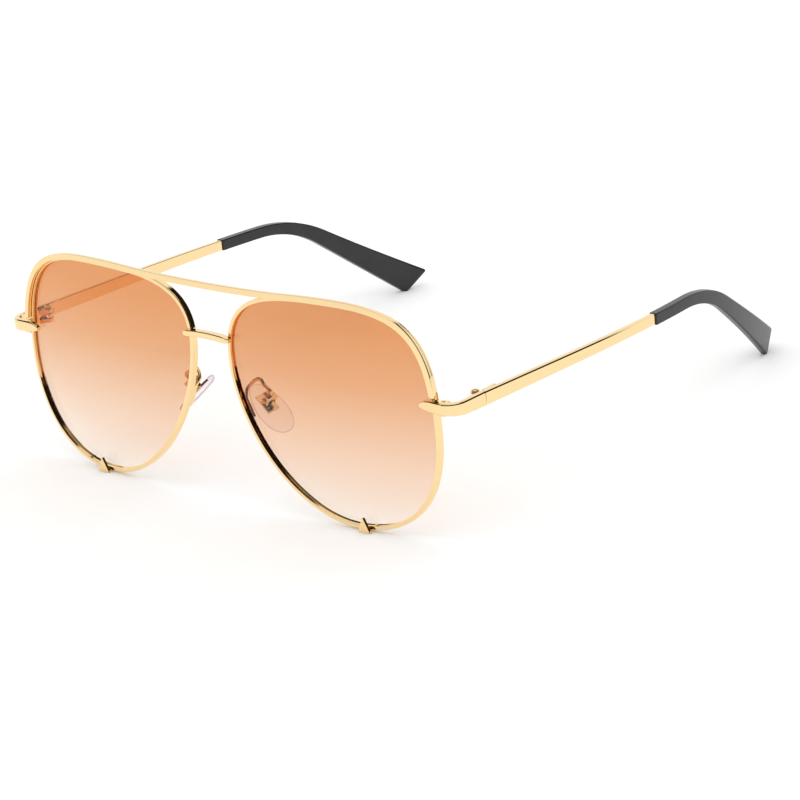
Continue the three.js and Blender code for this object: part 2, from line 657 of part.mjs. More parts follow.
// ---------------------------------------------------------------- rim foot
function rimFootGeometry() {
  const footX = LENS_X + BOTTOM_POINT_X + FOOT_FROM_BOTTOM;
  const [left, right] = [footX - FOOT_WIDTH / 2, footX + FOOT_WIDTH / 2];
  const foremost = (out) => range(left, right, 4).map((x) => rimPoint(lowerHalf, 'x', x, out).y);
  const rimFront = Math.min(...foremost(0), ...foremost(RIM_WIDTH)) - SOLDER_GAP;
  const spike = new THREE.Shape([
    new THREE.Vector2(-FOOT_WIDTH / 2, 0), new THREE.Vector2(FOOT_WIDTH / 2, 0),
    new THREE.Vector2(FOOT_POINT_WIDTH / 2, FOOT_POINT_Z),
    new THREE.Vector2(-FOOT_POINT_WIDTH / 2, FOOT_POINT_Z),
  ]);
  const standing = new THREE.ExtrudeGeometry(spike, { depth: FOOT_PLATE, bevelEnabled: false })
    .rotateX(Math.PI / 2).translate(footX, rimFront, 0);
  const reach = FOOT_PLATE + FOOT_REACH;
  const under = block(FOOT_WIDTH * FOOT_SOLE, reach, FOOT_THICKNESS,
    footX, rimFront - FOOT_PLATE + reach / 2, FOOT_THICKNESS / 2);
  return fromSolid(solid(standing).add(solid(under)));
}

// ---------------------------------------------------------------- nose pad pieces
// In the pad's own frame: origin on the rocking screw, screw along Y, contact face towards -X,
// pad top towards +Z
const rimBesidePad = rimPoint(innerHalf, 'z', PAD_AXIS_Z, 0);
const padAxis = rimBesidePad.add(new THREE.Vector3(...PAD_FROM_RIM, 0));
const boxHalfWidth = LUG_WIDTH / 2 + BOX_CLEARANCE + BOX_WALL;
const boxBase = LUG_REACH + BOX_DEPTH_CLEARANCE;

function padGeometry() {
  const half = PAD_LENGTH / 2;
  const profile = [[0, 0], [0.8, 0], [0.97, 0.18], [1, 0.5], [0.9, 0.8], [0.6, 1], [0, 1]];
  const disc = new THREE.LatheGeometry(
    profile.map(([r, h]) => new THREE.Vector2(r * half, h * PAD_THICKNESS)), 36);
  const position = disc.getAttribute('position');
  for (let i = 0; i < position.count; i += 1) {
    const along = position.getX(i);
    const width = (PAD_WIDTH / PAD_LENGTH) * (1 + PAD_TAPER * (along / half));
    position.setX(i, along);
    position.setZ(i, position.getZ(i) * width);
  }
  // lie the disc so that its thickness runs to -X, its length along -Z and its width along Y
  disc.applyMatrix4(new THREE.Matrix4().makeBasis(
    new THREE.Vector3(0, 0, -1), new THREE.Vector3(-1, 0, 0), new THREE.Vector3(0, 1, 0)));
  disc.translate(-PAD_BACK, 0, -PAD_BELOW_AXIS);
  const insertSize = [2 * INSERT_THICKNESS, INSERT_WIDTH, INSERT_LENGTH];
  const pocket = block(...insertSize.map((size) => size + 2 * INSERT_CLEARANCE), -PAD_BACK, 0, 0);
  return fromSolid(solid(disc).subtract(solid(pocket)));
}

function padInsertGeometry() {
  const base = block(INSERT_THICKNESS, INSERT_WIDTH, INSERT_LENGTH, -PAD_BACK - INSERT_THICKNESS / 2, 0, 0);
  const lugLength = PAD_BACK + LUG_REACH + INSERT_THICKNESS / 2;
  const lug = block(lugLength, LUG_WIDTH, LUG_LENGTH, LUG_REACH - lugLength / 2, 0, 0);
  const bore = bar(PAD_SCREW_RADIUS + PIN_CLEARANCE, -LUG_WIDTH, LUG_WIDTH).rotateX(Math.PI / 2);
  return fromSolid(solid(base).add(solid(lug)).subtract(solid(bore)));
}

function padBoxGeometry() {
  const length = BOX_RIM + boxBase + BOX_WALL;
  const outer = block(length, 2 * boxHalfWidth, BOX_LENGTH, length / 2 - BOX_RIM, 0, 0);
  const inner = block(2 * (BOX_RIM + boxBase), LUG_WIDTH + 2 * BOX_CLEARANCE, BOX_LENGTH * 2,
    boxBase - (BOX_RIM + boxBase), 0, 0);
  const bore = bar(PAD_SCREW_RADIUS + PIN_CLEARANCE, -2 * boxHalfWidth, 2 * boxHalfWidth);
  bore.rotateX(Math.PI / 2);
  return fromSolid(solid(outer).subtract(solid(inner)).subtract(solid(bore)));
}

function padArmGeometry(padFrame) {
  const fromPad = (x, y, z) => new THREE.Vector3(x, y, z).applyMatrix4(padFrame.matrixWorld);
  const seat = boxBase + BOX_WALL + SOLDER_GAP;
  const seatBack = RIM_DEPTH + WIRE_FROM_RIM + WIRE_RADIUS;
  const onRim = (height) => toWorld(beside(spotAt(height - LENS_Z, innerHalf), RIM_WIDTH / 2, seatBack));
  const seatTop = onRim(PAD_AXIS_Z + WIRE_SEAT);
  const route = new THREE.CatmullRomCurve3([
    onRim(PAD_AXIS_Z - WIRE_SEAT), onRim(PAD_AXIS_Z), seatTop,
    seatTop.clone().add(WIRE_OFF_RIM), padAxis.clone().add(WIRE_PEAK), padAxis.clone().add(WIRE_DESCENT),
    fromPad(seat + WIRE_END, 0, WIRE_RADIUS), fromPad(seat + WIRE_RADIUS, 0, 0), fromPad(seat, 0, 0),
  ], false, 'centripetal');
  const wire = new THREE.Shape().absarc(0, 0, WIRE_RADIUS, 0, Math.PI * 2);
  return tidy(new THREE.ExtrudeGeometry(wire, {
    steps: WIRE_STEPS, curveSegments: 5, bevelEnabled: false, extrudePath: route,
  }));
}

// ---------------------------------------------------------------- assembly
function piece(name, geometry, material, parent, position = [0, 0, 0]) {
  const mesh = new THREE.Mesh(tidy(geometry), material);
  mesh.name = name;
  mesh.position.set(...position);
  parent.add(mesh);
  return mesh;
}

function leftSide() {
  const side = new THREE.Group();
  side.add(front);
  piece('left_rim', rimGeometry(), gold, front);
  piece('left_lens', lensGeometry(), tint, front);
  piece('left_rim_foot', rimFootGeometry(), gold, side);
  piece('left_end_piece', endPieceGeometry(), gold, side);
  piece('left_rim_lock_upper', lockBlockGeometry(1), gold, side);
  piece('left_rim_lock_lower', lockBlockGeometry(-1), gold, side);
  const lockFloor = END_Z - RIM_SPLIT / 2 - LOCK_HEIGHT;
  const lockHead = LOCK_SCREW_RADIUS * SMALL_HEAD;
  const lockScrew = screw(LOCK_SCREW_RADIUS, lockHead, LOCK_HEAD_HEIGHT, 2 * LOCK_HEIGHT);
  piece('left_rim_lock_screw', lockScrew.rotateX(Math.PI), steel, side,
    [lockX + LOCK_WIDTH / 2, lockY + LOCK_DEPTH / 2, lockFloor - SOLDER_GAP]);

  const pin = new THREE.Group();
  pin.position.set(PIN_X, HINGE_Y, END_Z);
  side.add(pin);
  piece('left_hinge_front', hingeHalfGeometry(-1, [0, 2]), gold, pin);
  piece('left_hinge_temple', hingeHalfGeometry(1, [1]), gold, pin);
  const hingeScrew = screw(PIN_RADIUS, SCREW_HEAD_RADIUS, SCREW_HEAD_HEIGHT, stackHeight);
  piece('left_hinge_screw', hingeScrew, steel, pin, [0, 0, stackLow + stackHeight + SOLDER_GAP]);
  piece('left_temple', templeGeometry(), gold, side);
  piece('left_temple_tip', tipGeometry(), acetate, side);

  const pad = new THREE.Group();
  pad.position.copy(padAxis);
  pad.rotation.set(PAD_ROLL, -PAD_SPLAY, -PAD_TURN, 'ZYX');
  side.add(pad);
  side.updateMatrixWorld(true);
  piece('left_pad_arm', padArmGeometry(pad), gold, side);
  piece('left_pad_box', padBoxGeometry(), gold, pad);
  piece('left_pad_insert', padInsertGeometry(), gold, pad);
  piece('left_nose_pad', padGeometry(), silicone, pad);
  const padHead = PAD_SCREW_RADIUS * SMALL_HEAD;
  const padScrew = screw(PAD_SCREW_RADIUS, padHead, PAD_HEAD_HEIGHT, 2 * boxHalfWidth);
  piece('left_pad_screw', padScrew.rotateX(Math.PI / 2), steel, pad, [0, -boxHalfWidth - SOLDER_GAP, 0]);
  return side;
}

// The other side is the same tree reflected in the middle plane
function reflected(node) {
  const copy = node.isMesh ? new THREE.Mesh(node.geometry.clone(), node.material) : new THREE.Group();
  if (node.isMesh) flip(copy.geometry.scale(-1, 1, 1));
  copy.name = node.name.replace('left_', 'right_');
  copy.position.copy(node.position).multiply(new THREE.Vector3(-1, 1, 1));
  const { x, y, z, w } = node.quaternion;
  copy.quaternion.set(x, -y, -z, w);
  for (const child of node.children) copy.add(reflected(child));
  return copy;
}

const sunglasses = new THREE.Group();
const left = leftSide();
sunglasses.add(left, reflected(left));
piece('brow_bar', browBarGeometry(), gold, sunglasses);
piece('bridge', bridgeGeometry(), gold, sunglasses);

// The origin is the middle of the footprint on the table
const reachBox = new THREE.Box3().setFromObject(sunglasses, true);
sunglasses.position.y = -(reachBox.min.y + reachBox.max.y) / 2;

export default sunglasses;
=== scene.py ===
# %% [markdown]
# # Aviator sunglasses
# Two flat-wire rims hold tinted lenses under one brow bar. A lower bridge joins them at the nose,
# two temples fold behind them, and clear pads rock on bent wire arms. The CAD frame already has
# every part at its real size, with the bodies that move. It could be rendered as it is, but its
# edges are sharp and its curves are coarse. So each visible part is modelled again on the same
# measurements, finer and with softened edges, and then stands for its CAD node.

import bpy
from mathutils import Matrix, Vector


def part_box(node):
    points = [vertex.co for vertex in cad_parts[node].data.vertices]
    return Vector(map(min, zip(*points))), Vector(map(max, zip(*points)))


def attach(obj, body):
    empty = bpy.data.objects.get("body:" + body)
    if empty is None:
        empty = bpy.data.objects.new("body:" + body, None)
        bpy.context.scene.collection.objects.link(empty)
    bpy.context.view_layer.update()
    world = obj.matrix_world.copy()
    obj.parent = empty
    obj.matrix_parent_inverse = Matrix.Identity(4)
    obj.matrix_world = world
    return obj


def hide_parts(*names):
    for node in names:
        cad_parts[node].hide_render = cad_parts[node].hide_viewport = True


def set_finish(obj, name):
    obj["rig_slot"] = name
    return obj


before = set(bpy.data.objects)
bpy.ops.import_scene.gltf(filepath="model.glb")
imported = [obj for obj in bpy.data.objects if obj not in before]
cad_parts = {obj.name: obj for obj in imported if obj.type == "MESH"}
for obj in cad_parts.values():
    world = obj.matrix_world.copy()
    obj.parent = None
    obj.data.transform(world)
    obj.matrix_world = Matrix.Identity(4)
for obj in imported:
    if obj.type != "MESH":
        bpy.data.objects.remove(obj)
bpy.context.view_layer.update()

# %% [markdown]
# ## Measurements
# An optician works in millimetres and Blender in metres, so lengths are written as so many MM.
# The parts are drawn about the middle of the lens front, with X to the wearer's left, Y back
# towards the ears and Z up from the table. The frame's own origin lies further back, so a
# finished part is moved there at the end. The hinge screw, whose distance behind the lenses is
# known, tells how far.

# %% Units and landmarks
import math

import bmesh
import bpy
import numpy as np
from mathutils import Matrix, Vector
from mathutils.geometry import interpolate_bezier

MM = 0.001
deg = math.radians

SOLDER_GAP = 0.05 * MM      # between parts that are soldered together
HINGE_Y = 14.5 * MM         # hinge screw behind the middle of the front
END_Z = 34.25 * MM          # middle of the end-pieces above the table

screw_low, screw_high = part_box("left_hinge_screw")
TO_FRAME = Matrix.Translation((0, (screw_low.y + screw_high.y) / 2 - HINGE_Y, 0))
print("The drawing's origin lies at", [round(1000 * part, 2) for part in TO_FRAME.translation])

# %% [markdown]
# ## Working by hand, in code
# Most parts of a pair of glasses are wire or strip: one small section that runs along a path.
# They could be curves with a bevel, but a curve keeps one section all the way, and here the
# sections grow, lean and come to a point. So a part starts as a flat circle whose corners are
# set on its first section. Its face is then extruded again and again, and each time the new
# corners are moved to the next section. The helpers below do that, round off the corners of a
# section, and finish a part with modifiers.

# %% Helpers for modelling
def only(piece):
    """Selects one object and nothing else."""
    bpy.ops.object.select_all(action="DESELECT")
    piece.select_set(True)
    bpy.context.view_layer.objects.active = piece


def apply(piece, kind, **settings):
    """Adds a modifier, sets it up and applies it."""
    only(piece)
    modifier = piece.modifiers.new(kind.title(), kind)
    for name, value in settings.items():
        setattr(modifier, name, value)
    bpy.ops.object.modifier_apply(modifier=modifier.name)


def face_outwards(piece):
    only(piece)
    bpy.ops.object.mode_set(mode="EDIT")
    bpy.ops.mesh.select_all(action="SELECT")
    bpy.ops.mesh.normals_make_consistent(inside=False)
    bpy.ops.object.mode_set(mode="OBJECT")


def smooth(piece, angle=40):
    """Round stretches shade smoothly, and flat faces stay flat up to their soft edges."""
    only(piece)
    bpy.ops.object.shade_smooth_by_angle(angle=deg(angle))
    apply(piece, "WEIGHTED_NORMAL", keep_sharp=True)


def extruded(name, sections):
    """A solid made by pushing the first section's face through all the others."""
    bpy.ops.object.select_all(action="DESELECT")
    bpy.ops.mesh.primitive_circle_add(vertices=len(sections[0]), fill_type="NGON")
    piece = bpy.context.active_object
    piece.name = piece.data.name = name
    for corner, place in zip(piece.data.vertices, sections[0]):
        corner.co = place
    bpy.ops.object.mode_set(mode="EDIT")
    for before, after in zip(sections, sections[1:]):
        bpy.ops.mesh.extrude_region()
        drawing = bmesh.from_edit_mesh(piece.data)
        for corner in drawing.verts:
            if corner.select:
                gaps = [(place - corner.co).length_squared for place in before]
                corner.co = after[gaps.index(min(gaps))]
        bmesh.update_edit_mesh(piece.data)
    bpy.ops.object.mode_set(mode="OBJECT")
    face_outwards(piece)
    return piece


def rounded(corners, steps=3):
    """A flat section from its corners (x, y, radius), each corner drawn as an arc."""
    points = []
    for i, (x, y, radius) in enumerate(corners):
        here = Vector((x, y))
        if not radius:
            points.append(here)
            continue
        back = (Vector(corners[i - 1][:2]) - here).normalized()
        ahead = (Vector(corners[(i + 1) % len(corners)][:2]) - here).normalized()
        half = back.angle(ahead) / 2
        centre = here + (back + ahead).normalized() * radius / math.sin(half)
        start = here + back * radius / math.tan(half) - centre
        end = here + ahead * radius / math.tan(half) - centre
        turn = math.atan2(start.cross(end), start.dot(end)) / steps
        points += [centre + Matrix.Rotation(turn * step, 2) @ start for step in range(steps + 1)]
    return points


def shares(count):
    """Even shares from 0 to 1."""
    return [i / count for i in range(count + 1)]


# %% [markdown]
# ## The lens outline
# A lens maker draws the shape of an opening inside a box: it touches the box at a top, an outer,
# a bottom and an inner point, and a full curve joins each to the next. An aviator's teardrop
# could be traced point by point, but then no two stretches would flow into each other. Four
# Bezier curves do it with eight numbers: how long each curve's two handles are, as a share of
# the box. The curves are then walked in even steps, and each stop knows which way is along the
# wire and which way is out of the opening.

# %% Draw the opening
LENS_WIDTH = 62 * MM
LENS_HEIGHT = 54.4 * MM
LENS_SPACING = 14.2 * MM
TOP_POINT_X = 1.2 * MM          # where the outline touches its box, from the box's middle
OUTER_POINT_Z = -0.3 * MM
BOTTOM_POINT_X = 5.2 * MM
INNER_POINT_Z = 11.7 * MM
TOP_OUTER_HANDLES = (0.69, 0.88)
OUTER_BOTTOM_HANDLES = (0.33, 0.88)
BOTTOM_INNER_HANDLES = (0.56, 0.42)
INNER_TOP_HANDLES = (0.94, 0.52)
STOPS = 144
CURVE_FINENESS = 200


class Stop:
    """A stop on the outline: its place, the way along the wire, and the way out."""

    def __init__(self, place, before, after):
        self.x, self.z = place
        self.along = (after - before).normalized()
        self.out = Vector((-self.along.y, self.along.x))


def quarter(start, end, fullness, level):
    """A curve between two points of the box, leaving the first along it if level is true."""
    first, second = Vector(start), Vector(end)
    if level:
        first.x += (end.x - start.x) * fullness[0]
        second.y -= (end.y - start.y) * fullness[1]
    else:
        first.y += (end.y - start.y) * fullness[0]
        second.x -= (end.x - start.x) * fullness[1]
    return interpolate_bezier(start, first, second, end, CURVE_FINENESS)[:-1]


def evenly(points, count):
    """Stops at equal distances round a closed run of points."""
    ring = np.array([*points, points[0]])
    gone = np.concatenate([[0], np.cumsum(np.linalg.norm(np.diff(ring, axis=0), axis=1))])
    walk = np.linspace(0, gone[-1], count, endpoint=False)
    return [Vector(place) for place in np.stack([np.interp(walk, gone, side) for side in ring.T], 1)]


top = Vector((TOP_POINT_X, LENS_HEIGHT / 2))
outer = Vector((LENS_WIDTH / 2, OUTER_POINT_Z))
bottom = Vector((BOTTOM_POINT_X, -LENS_HEIGHT / 2))
inner = Vector((-LENS_WIDTH / 2, INNER_POINT_Z))
curve = [
    *quarter(top, outer, TOP_OUTER_HANDLES, True),
    *quarter(outer, bottom, OUTER_BOTTOM_HANDLES, False),
    *quarter(bottom, inner, BOTTOM_INNER_HANDLES, True),
    *quarter(inner, top, INNER_TOP_HANDLES, False),
]
places = evenly(curve, STOPS)
outline = [
    Stop(place, places[i - 1], places[(i + 1) % STOPS]) for i, place in enumerate(places)
]
print("Round one opening, mm:", round(1000 * STOPS * (places[1] - places[0]).length, 1))

# %% [markdown]
# Lenses aren't flat. Both are cut from a shallow ball, so the front bows forward in the middle
# of each lens, and each front also turns back a little towards its temple. A point beside the
# outline is therefore found in two steps: on the bowed front of one lens, and then where that
# front stands.

# %% Stand the front up
BASE_RADIUS = 215 * MM          # of the ball that both faces are cut from
WRAP = deg(3.4)
LEAN = deg(2.8)
RIM_WIDTH = 1.05 * MM
RIM_DEPTH = 1.7 * MM
FOOT_THICKNESS = 0.35 * MM      # of the clip under each rim


def bow(x, z):
    """How far the ball falls back at a place on the lens."""
    return (x * x + z * z) / (2 * BASE_RADIUS)


def beside(stop, out, back, along=0.0):
    """A point out from the opening's edge and back from the rim's front face."""
    x = stop.x + stop.out.x * out + stop.along.x * along
    z = stop.z + stop.out.y * out + stop.along.y * along
    return Vector((x, bow(x, z) + back, z))


turned = Matrix.Rotation(-LEAN, 4, "X") @ Matrix.Rotation(WRAP, 4, "Z")
lowest = min((turned @ beside(stop, RIM_WIDTH, RIM_DEPTH)).z for stop in outline)
LENS_Z = FOOT_THICKNESS + SOLDER_GAP - lowest
FRONT = Matrix.Translation(((LENS_SPACING + LENS_WIDTH) / 2, 0, LENS_Z)) @ turned


def on_front(stop, out, back, along=0.0):
    return FRONT @ beside(stop, out, back, along)


def stop_at(z, outer_side):
    """The stop nearest a height above the table, on the outer or the inner side."""
    side = [stop for stop in outline[::2] if (stop.x > BOTTOM_POINT_X) == outer_side]
    return min(side, key=lambda stop: abs(stop.z - (z - LENS_Z)))


def stretch(start, end):
    """The stops from one round to another."""
    first = outline.index(start)
    count = (outline.index(end) - first) % STOPS or STOPS
    return [outline[(first + i) % STOPS] for i in range(count + 1)]


print("Middle of the lenses above the table, mm:", round(1000 * LENS_Z, 2))

# %% [markdown]
# ## Fitting and mirroring
# A part of the left side is made once. Its twin could be an instance with a negative scale, but
# such a copy is inside out and its pattern runs backwards when it is exported. So the twin gets
# its own mirrored mesh, and its faces are turned outwards again. Each finished part is then
# moved to the frame, rides on the body that carries it, and hides the node that it stands for.

# %% Helpers for fitting
made = []


def fit(piece, node, body, slot):
    piece.data.transform(TO_FRAME)
    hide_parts(node)
    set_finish(piece, slot)
    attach(piece, body)
    made.append(piece)


def fit_pair(piece, node, body, slot):
    """Fits a left part and its mirrored twin."""
    twin = piece.copy()
    twin.data = piece.data.copy()
    twin.name = twin.data.name = piece.name.replace("left", "right")
    bpy.context.collection.objects.link(twin)
    twin.data.transform(Matrix.Scale(-1, 4, (1, 0, 0)))
    face_outwards(twin)
    for side, each in (("left", piece), ("right", twin)):
        smooth(each)
        fit(each, f"{side}_{node}", body.replace("side", side), slot)
    print(f"{node}: {len(piece.data.polygons)} faces a side")


# %% [markdown]
# ## Rims
# A rim is drawn wire with a V groove inside it for the lens. It is bent round the lens and cut
# at the hinge side, where a small lock closes it. A Solidify modifier on the outline would give
# a plain strip, so the real section is drawn, groove and soft corners included, and pushed round
# from one side of the cut to the other.

# %% Rims
GROOVE_DEPTH = 0.55 * MM
LENS_FROM_FRONT = 0.7 * MM
LENS_THICKNESS = 0.85 * MM
RIM_SPLIT = 0.4 * MM
RIM_EDGE = 0.24 * MM            # how far its outer corners are rounded
RIM_LIP = 0.1 * MM              # and the corners of its lips

lens_back = LENS_FROM_FRONT + LENS_THICKNESS
lens_middle = (LENS_FROM_FRONT + lens_back) / 2
split = stop_at(END_Z, True)

wire = rounded([
    (0, 0, RIM_LIP), (RIM_WIDTH, 0, RIM_EDGE), (RIM_WIDTH, RIM_DEPTH, RIM_EDGE), (0, RIM_DEPTH, 0),
    (0, lens_back, 0), (GROOVE_DEPTH, lens_middle, 0), (0, LENS_FROM_FRONT, 0),
])
cuts = {0: RIM_SPLIT / 2, STOPS: -RIM_SPLIT / 2}
rim = extruded("left_rim_wire", [
    [on_front(stop, out, back, cuts.get(i, 0)) for out, back in wire]
    for i, stop in enumerate(stretch(split, split))
])
fit_pair(rim, "rim", "front", "gold")

# %% [markdown]
# ## Lenses
# A lens is a thin shell of tinted plastic, ground to a V all round so that it snaps into the
# groove. A flat disc with a Simple Deform would bow it one way only. Here the outline itself is
# the section: it starts small in the middle of the front face, grows to the edge, goes over the
# V and shrinks again to the middle of the back, and every ring lies on the same ball.

# %% Lenses
LENS_CLEARANCE = 0.1 * MM
LENS_RINGS = 9
LENS_MIDDLE_SHARE = 0.06        # size of the small face that closes each side
LENS_RIM_SHARE = 0.97           # size of the last ring before the edge


def ring(share, back):
    """The outline drawn smaller, on the ball."""
    points = [(stop.x * share, stop.z * share) for stop in outline]
    return [FRONT @ Vector((x, bow(x, z) + back, z)) for x, z in points]


def lens_edge(out, back):
    return [on_front(stop, out - LENS_CLEARANCE, back) for stop in outline]


sizes = [LENS_MIDDLE_SHARE + (LENS_RIM_SHARE - LENS_MIDDLE_SHARE) * share
         for share in shares(LENS_RINGS)]
lens = extruded("left_tinted_lens", [
    *[ring(size, LENS_FROM_FRONT) for size in sizes],
    lens_edge(0, LENS_FROM_FRONT),
    lens_edge(GROOVE_DEPTH, lens_middle),
    lens_edge(0, lens_back),
    *[ring(size, lens_back) for size in reversed(sizes)],
])
fit_pair(lens, "lens", "front", "lens")

# %% [markdown]
# ## Brow bar
# The bar that gives this model its look is one flat strip in front of both rims. It follows the
# top of each rim and springs straight across the nose between them. It could be two strips and a
# straight piece joined, which would leave two seams. One section carried all the way, over the
# right rim, along a curve that leaves each rim in its own direction, and over the left rim, has
# none.

# %% Brow bar
BAR_HEIGHT = 1.5 * MM
BAR_DEPTH = 1.1 * MM
BAR_INSET = 0.45 * MM           # bare rim left under the bar
BAR_LEAVES_X = -10 * MM         # where it leaves the rim, from the opening's middle
BAR_HANDLE = 15 * MM
BAR_SPAN_STEPS = 24
BAR_FRONT_EDGE = 0.06 * MM
BAR_BACK_EDGE = 0.3 * MM
BAR_ABOVE_END_PIECE = 0.35 * MM
END_HEIGHT = 3.6 * MM           # of the end-piece, at the hinge
END_RISE = 0.5 * MM             # of the end-piece's top towards the front


def mirrored(point):
    return Vector((-point.x, point.y, point.z))


strip = rounded([
    (BAR_INSET, -SOLDER_GAP, BAR_BACK_EDGE),
    (BAR_INSET + BAR_HEIGHT, -SOLDER_GAP, BAR_BACK_EDGE),
    (BAR_INSET + BAR_HEIGHT, -SOLDER_GAP - BAR_DEPTH, BAR_FRONT_EDGE),
    (BAR_INSET, -SOLDER_GAP - BAR_DEPTH, BAR_FRONT_EDGE),
])
lowest_end = END_Z + END_HEIGHT / 2 + END_RISE + BAR_ABOVE_END_PIECE - LENS_Z
bar_end = min((stop for stop in outline[::2] if stop.x > BOTTOM_POINT_X and stop.z > lowest_end),
              key=lambda stop: stop.z)
inner_top = [stop for stop in outline[::2] if stop.z > INNER_POINT_Z and stop.x < TOP_POINT_X]
bar_leaves = min(inner_top, key=lambda stop: abs(stop.x - BAR_LEAVES_X))
over_rim = [
    [on_front(stop, out, back) for out, back in strip]
    for stop in reversed(stretch(bar_leaves, bar_end))
]
heading = (over_rim[-1][0] - over_rim[-2][0]).normalized() * BAR_HANDLE
spans = [
    interpolate_bezier(point, point + heading, mirrored(point + heading), mirrored(point),
                       BAR_SPAN_STEPS)
    for point in over_rim[-1]
]
brow_bar = extruded("brow_strip", [
    *over_rim,
    *[list(section) for section in list(zip(*spans))[1:-1]],
    *[[mirrored(point) for point in section] for section in reversed(over_rim)],
])
smooth(brow_bar)
fit(brow_bar, "brow_bar", "front", "gold")
print("Brow bar:", len(over_rim), "sections over each rim")

# %% [markdown]
# ## Bridge
# The lower bridge is a short cast bar that arches over the nose and ends in a point on each
# lens. A cube with its ends scaled down would have straight sides, so its section shrinks as the
# square root of the distance from the end, which gives a rounded, leaf-like tip.

# %% Bridge
BRIDGE_Z = 43.35 * MM
BRIDGE_ARCH = 0.5 * MM
BRIDGE_HEIGHT = 1.6 * MM
BRIDGE_DEPTH = 1.8 * MM
BRIDGE_OVERLAP = 0.75 * MM      # of its tips over the lenses
BRIDGE_TIP = 1.6 * MM
BRIDGE_TIP_HEIGHT = 0.55        # of its blunt ends, as shares of the middle
BRIDGE_TIP_DEPTH = 0.7
BRIDGE_STEPS = 28
BRIDGE_SOFT = 0.4               # rounding of its face, as a share of half its height
BRIDGE_HARD = 0.15              # and of its back
FRONT_CLEARANCE = 0.15 * MM     # before the leaning rim

bridge_reach = LENS_SPACING / 2 + BRIDGE_OVERLAP
rim_front = on_front(stop_at(BRIDGE_Z, False), RIM_WIDTH / 2, 0).y
bridge_back = rim_front - SOLDER_GAP - FRONT_CLEARANCE


def bridge_section(x):
    from_end = min(1, (bridge_reach - abs(x)) / BRIDGE_TIP) ** 0.5
    half = BRIDGE_HEIGHT / 2 * (BRIDGE_TIP_HEIGHT + (1 - BRIDGE_TIP_HEIGHT) * from_end)
    face = bridge_back - BRIDGE_DEPTH * (BRIDGE_TIP_DEPTH + (1 - BRIDGE_TIP_DEPTH) * from_end)
    middle = BRIDGE_Z + BRIDGE_ARCH * (1 - (x / bridge_reach) ** 2)
    soft, hard = half * BRIDGE_SOFT, half * BRIDGE_HARD
    section = rounded([
        (bridge_back, middle - half, hard), (bridge_back, middle + half, hard),
        (face, middle + half, soft), (face, middle - half, soft),
    ])
    return [Vector((x, y, z)) for y, z in section]


bridge = extruded("nose_bridge", [
    bridge_section(-bridge_reach * math.cos(math.pi * share)) for share in shares(BRIDGE_STEPS)
])
smooth(bridge)
fit(bridge, "bridge", "front", "gold")

# %% [markdown]
# ## End-pieces
# An end-piece is a strip that starts as a point on the lens, crosses the rim, turns a corner and
# meets the temple at the hinge. It could be a flat plate bent by a Simple Deform modifier, but
# the bend has a set radius and the strip grows taller round it. So sections stand at the point,
# round the bend and at the hinge, each with its own height and thickness.

# %% End-pieces
STRIP_THICKNESS = 1.5 * MM
END_FRONT_HEIGHT = 2.9 * MM     # where it crosses the rim
END_TIP_OVERLAP = 3.0 * MM      # of the leaf-shaped end over the lens
END_TIP_LENGTH = 5.0 * MM
END_TIP_HEIGHT = 0.2            # of its blunt nose, as a share of the full height
END_TIP_FROM_TOP = 0.62         # share of the narrowing that is taken from the top
END_TIP_BACK = 0.5 * MM         # the nose is thinner than the strip by this
END_BEND_RADIUS = 5.0 * MM
JOINT_GAP = 0.1 * MM
STRIP_EDGE = 0.45 * MM          # rounding of the face's edges
STRIP_EDGE_LIMIT = 0.3          # but no more than this share of the height
STRIP_BACK_SHARE = 1 / 3        # rounding of the back's edges, as a share of the face's
TIP_STEPS = 12
BEND_STEPS = 16
BEND_GROWTH = 0.6               # share of its growth that is over at the end of the bend

OUTER_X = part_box("left_end_piece")[1].x
rim_outer_x = on_front(split, RIM_WIDTH, 0).x
end_back = on_front(split, 0, 0).y - SOLDER_GAP - FRONT_CLEARANCE
end_face = end_back - STRIP_THICKNESS
end_top = END_Z + END_HEIGHT / 2


def end_section(face, back, height, top_z):
    """A section across the strip, between a point of its face and one of its back."""
    face, back = Vector(face), Vector(back)
    thickness = (face - back).length
    edge = min(STRIP_EDGE, STRIP_EDGE_LIMIT * height)
    back_edge = edge * STRIP_BACK_SHARE
    section = rounded([
        (0, 0, back_edge), (0, height, back_edge), (thickness, height, edge), (thickness, 0, edge),
    ])
    flat = [(back + (face - back) * depth / thickness, rise) for depth, rise in section]
    return [Vector((spot.x, spot.y, top_z - height + rise)) for spot, rise in flat]


def end_growth(share):
    height = END_FRONT_HEIGHT + (END_HEIGHT - END_FRONT_HEIGHT) * share
    return height, end_top + END_RISE * (1 - share)


sections = []
for share in (share ** 2 for share in shares(TIP_STEPS)):
    leaf = math.sqrt(1 - (1 - share) ** 2)
    height = END_FRONT_HEIGHT * (END_TIP_HEIGHT + (1 - END_TIP_HEIGHT) * leaf)
    x = rim_outer_x - RIM_WIDTH - END_TIP_OVERLAP + END_TIP_LENGTH * share
    top_z = end_top + END_RISE - END_TIP_FROM_TOP * (END_FRONT_HEIGHT - height)
    face = (x, end_face + END_TIP_BACK * (1 - share))
    sections.append(end_section(face, (x, end_back), height, top_z))
for share in shares(BEND_STEPS):
    angle = math.pi / 2 * share
    way = Vector((math.sin(angle), -math.cos(angle)))
    middle = Vector((OUTER_X - END_BEND_RADIUS, end_face + END_BEND_RADIUS))
    back = middle + way * (END_BEND_RADIUS - STRIP_THICKNESS)
    face = middle + way * END_BEND_RADIUS
    sections.append(end_section(face, back, *end_growth(BEND_GROWTH * share)))
hinge_end = HINGE_Y - JOINT_GAP / 2
sections.append(end_section(
    (OUTER_X, hinge_end), (OUTER_X - STRIP_THICKNESS, hinge_end), *end_growth(1)))
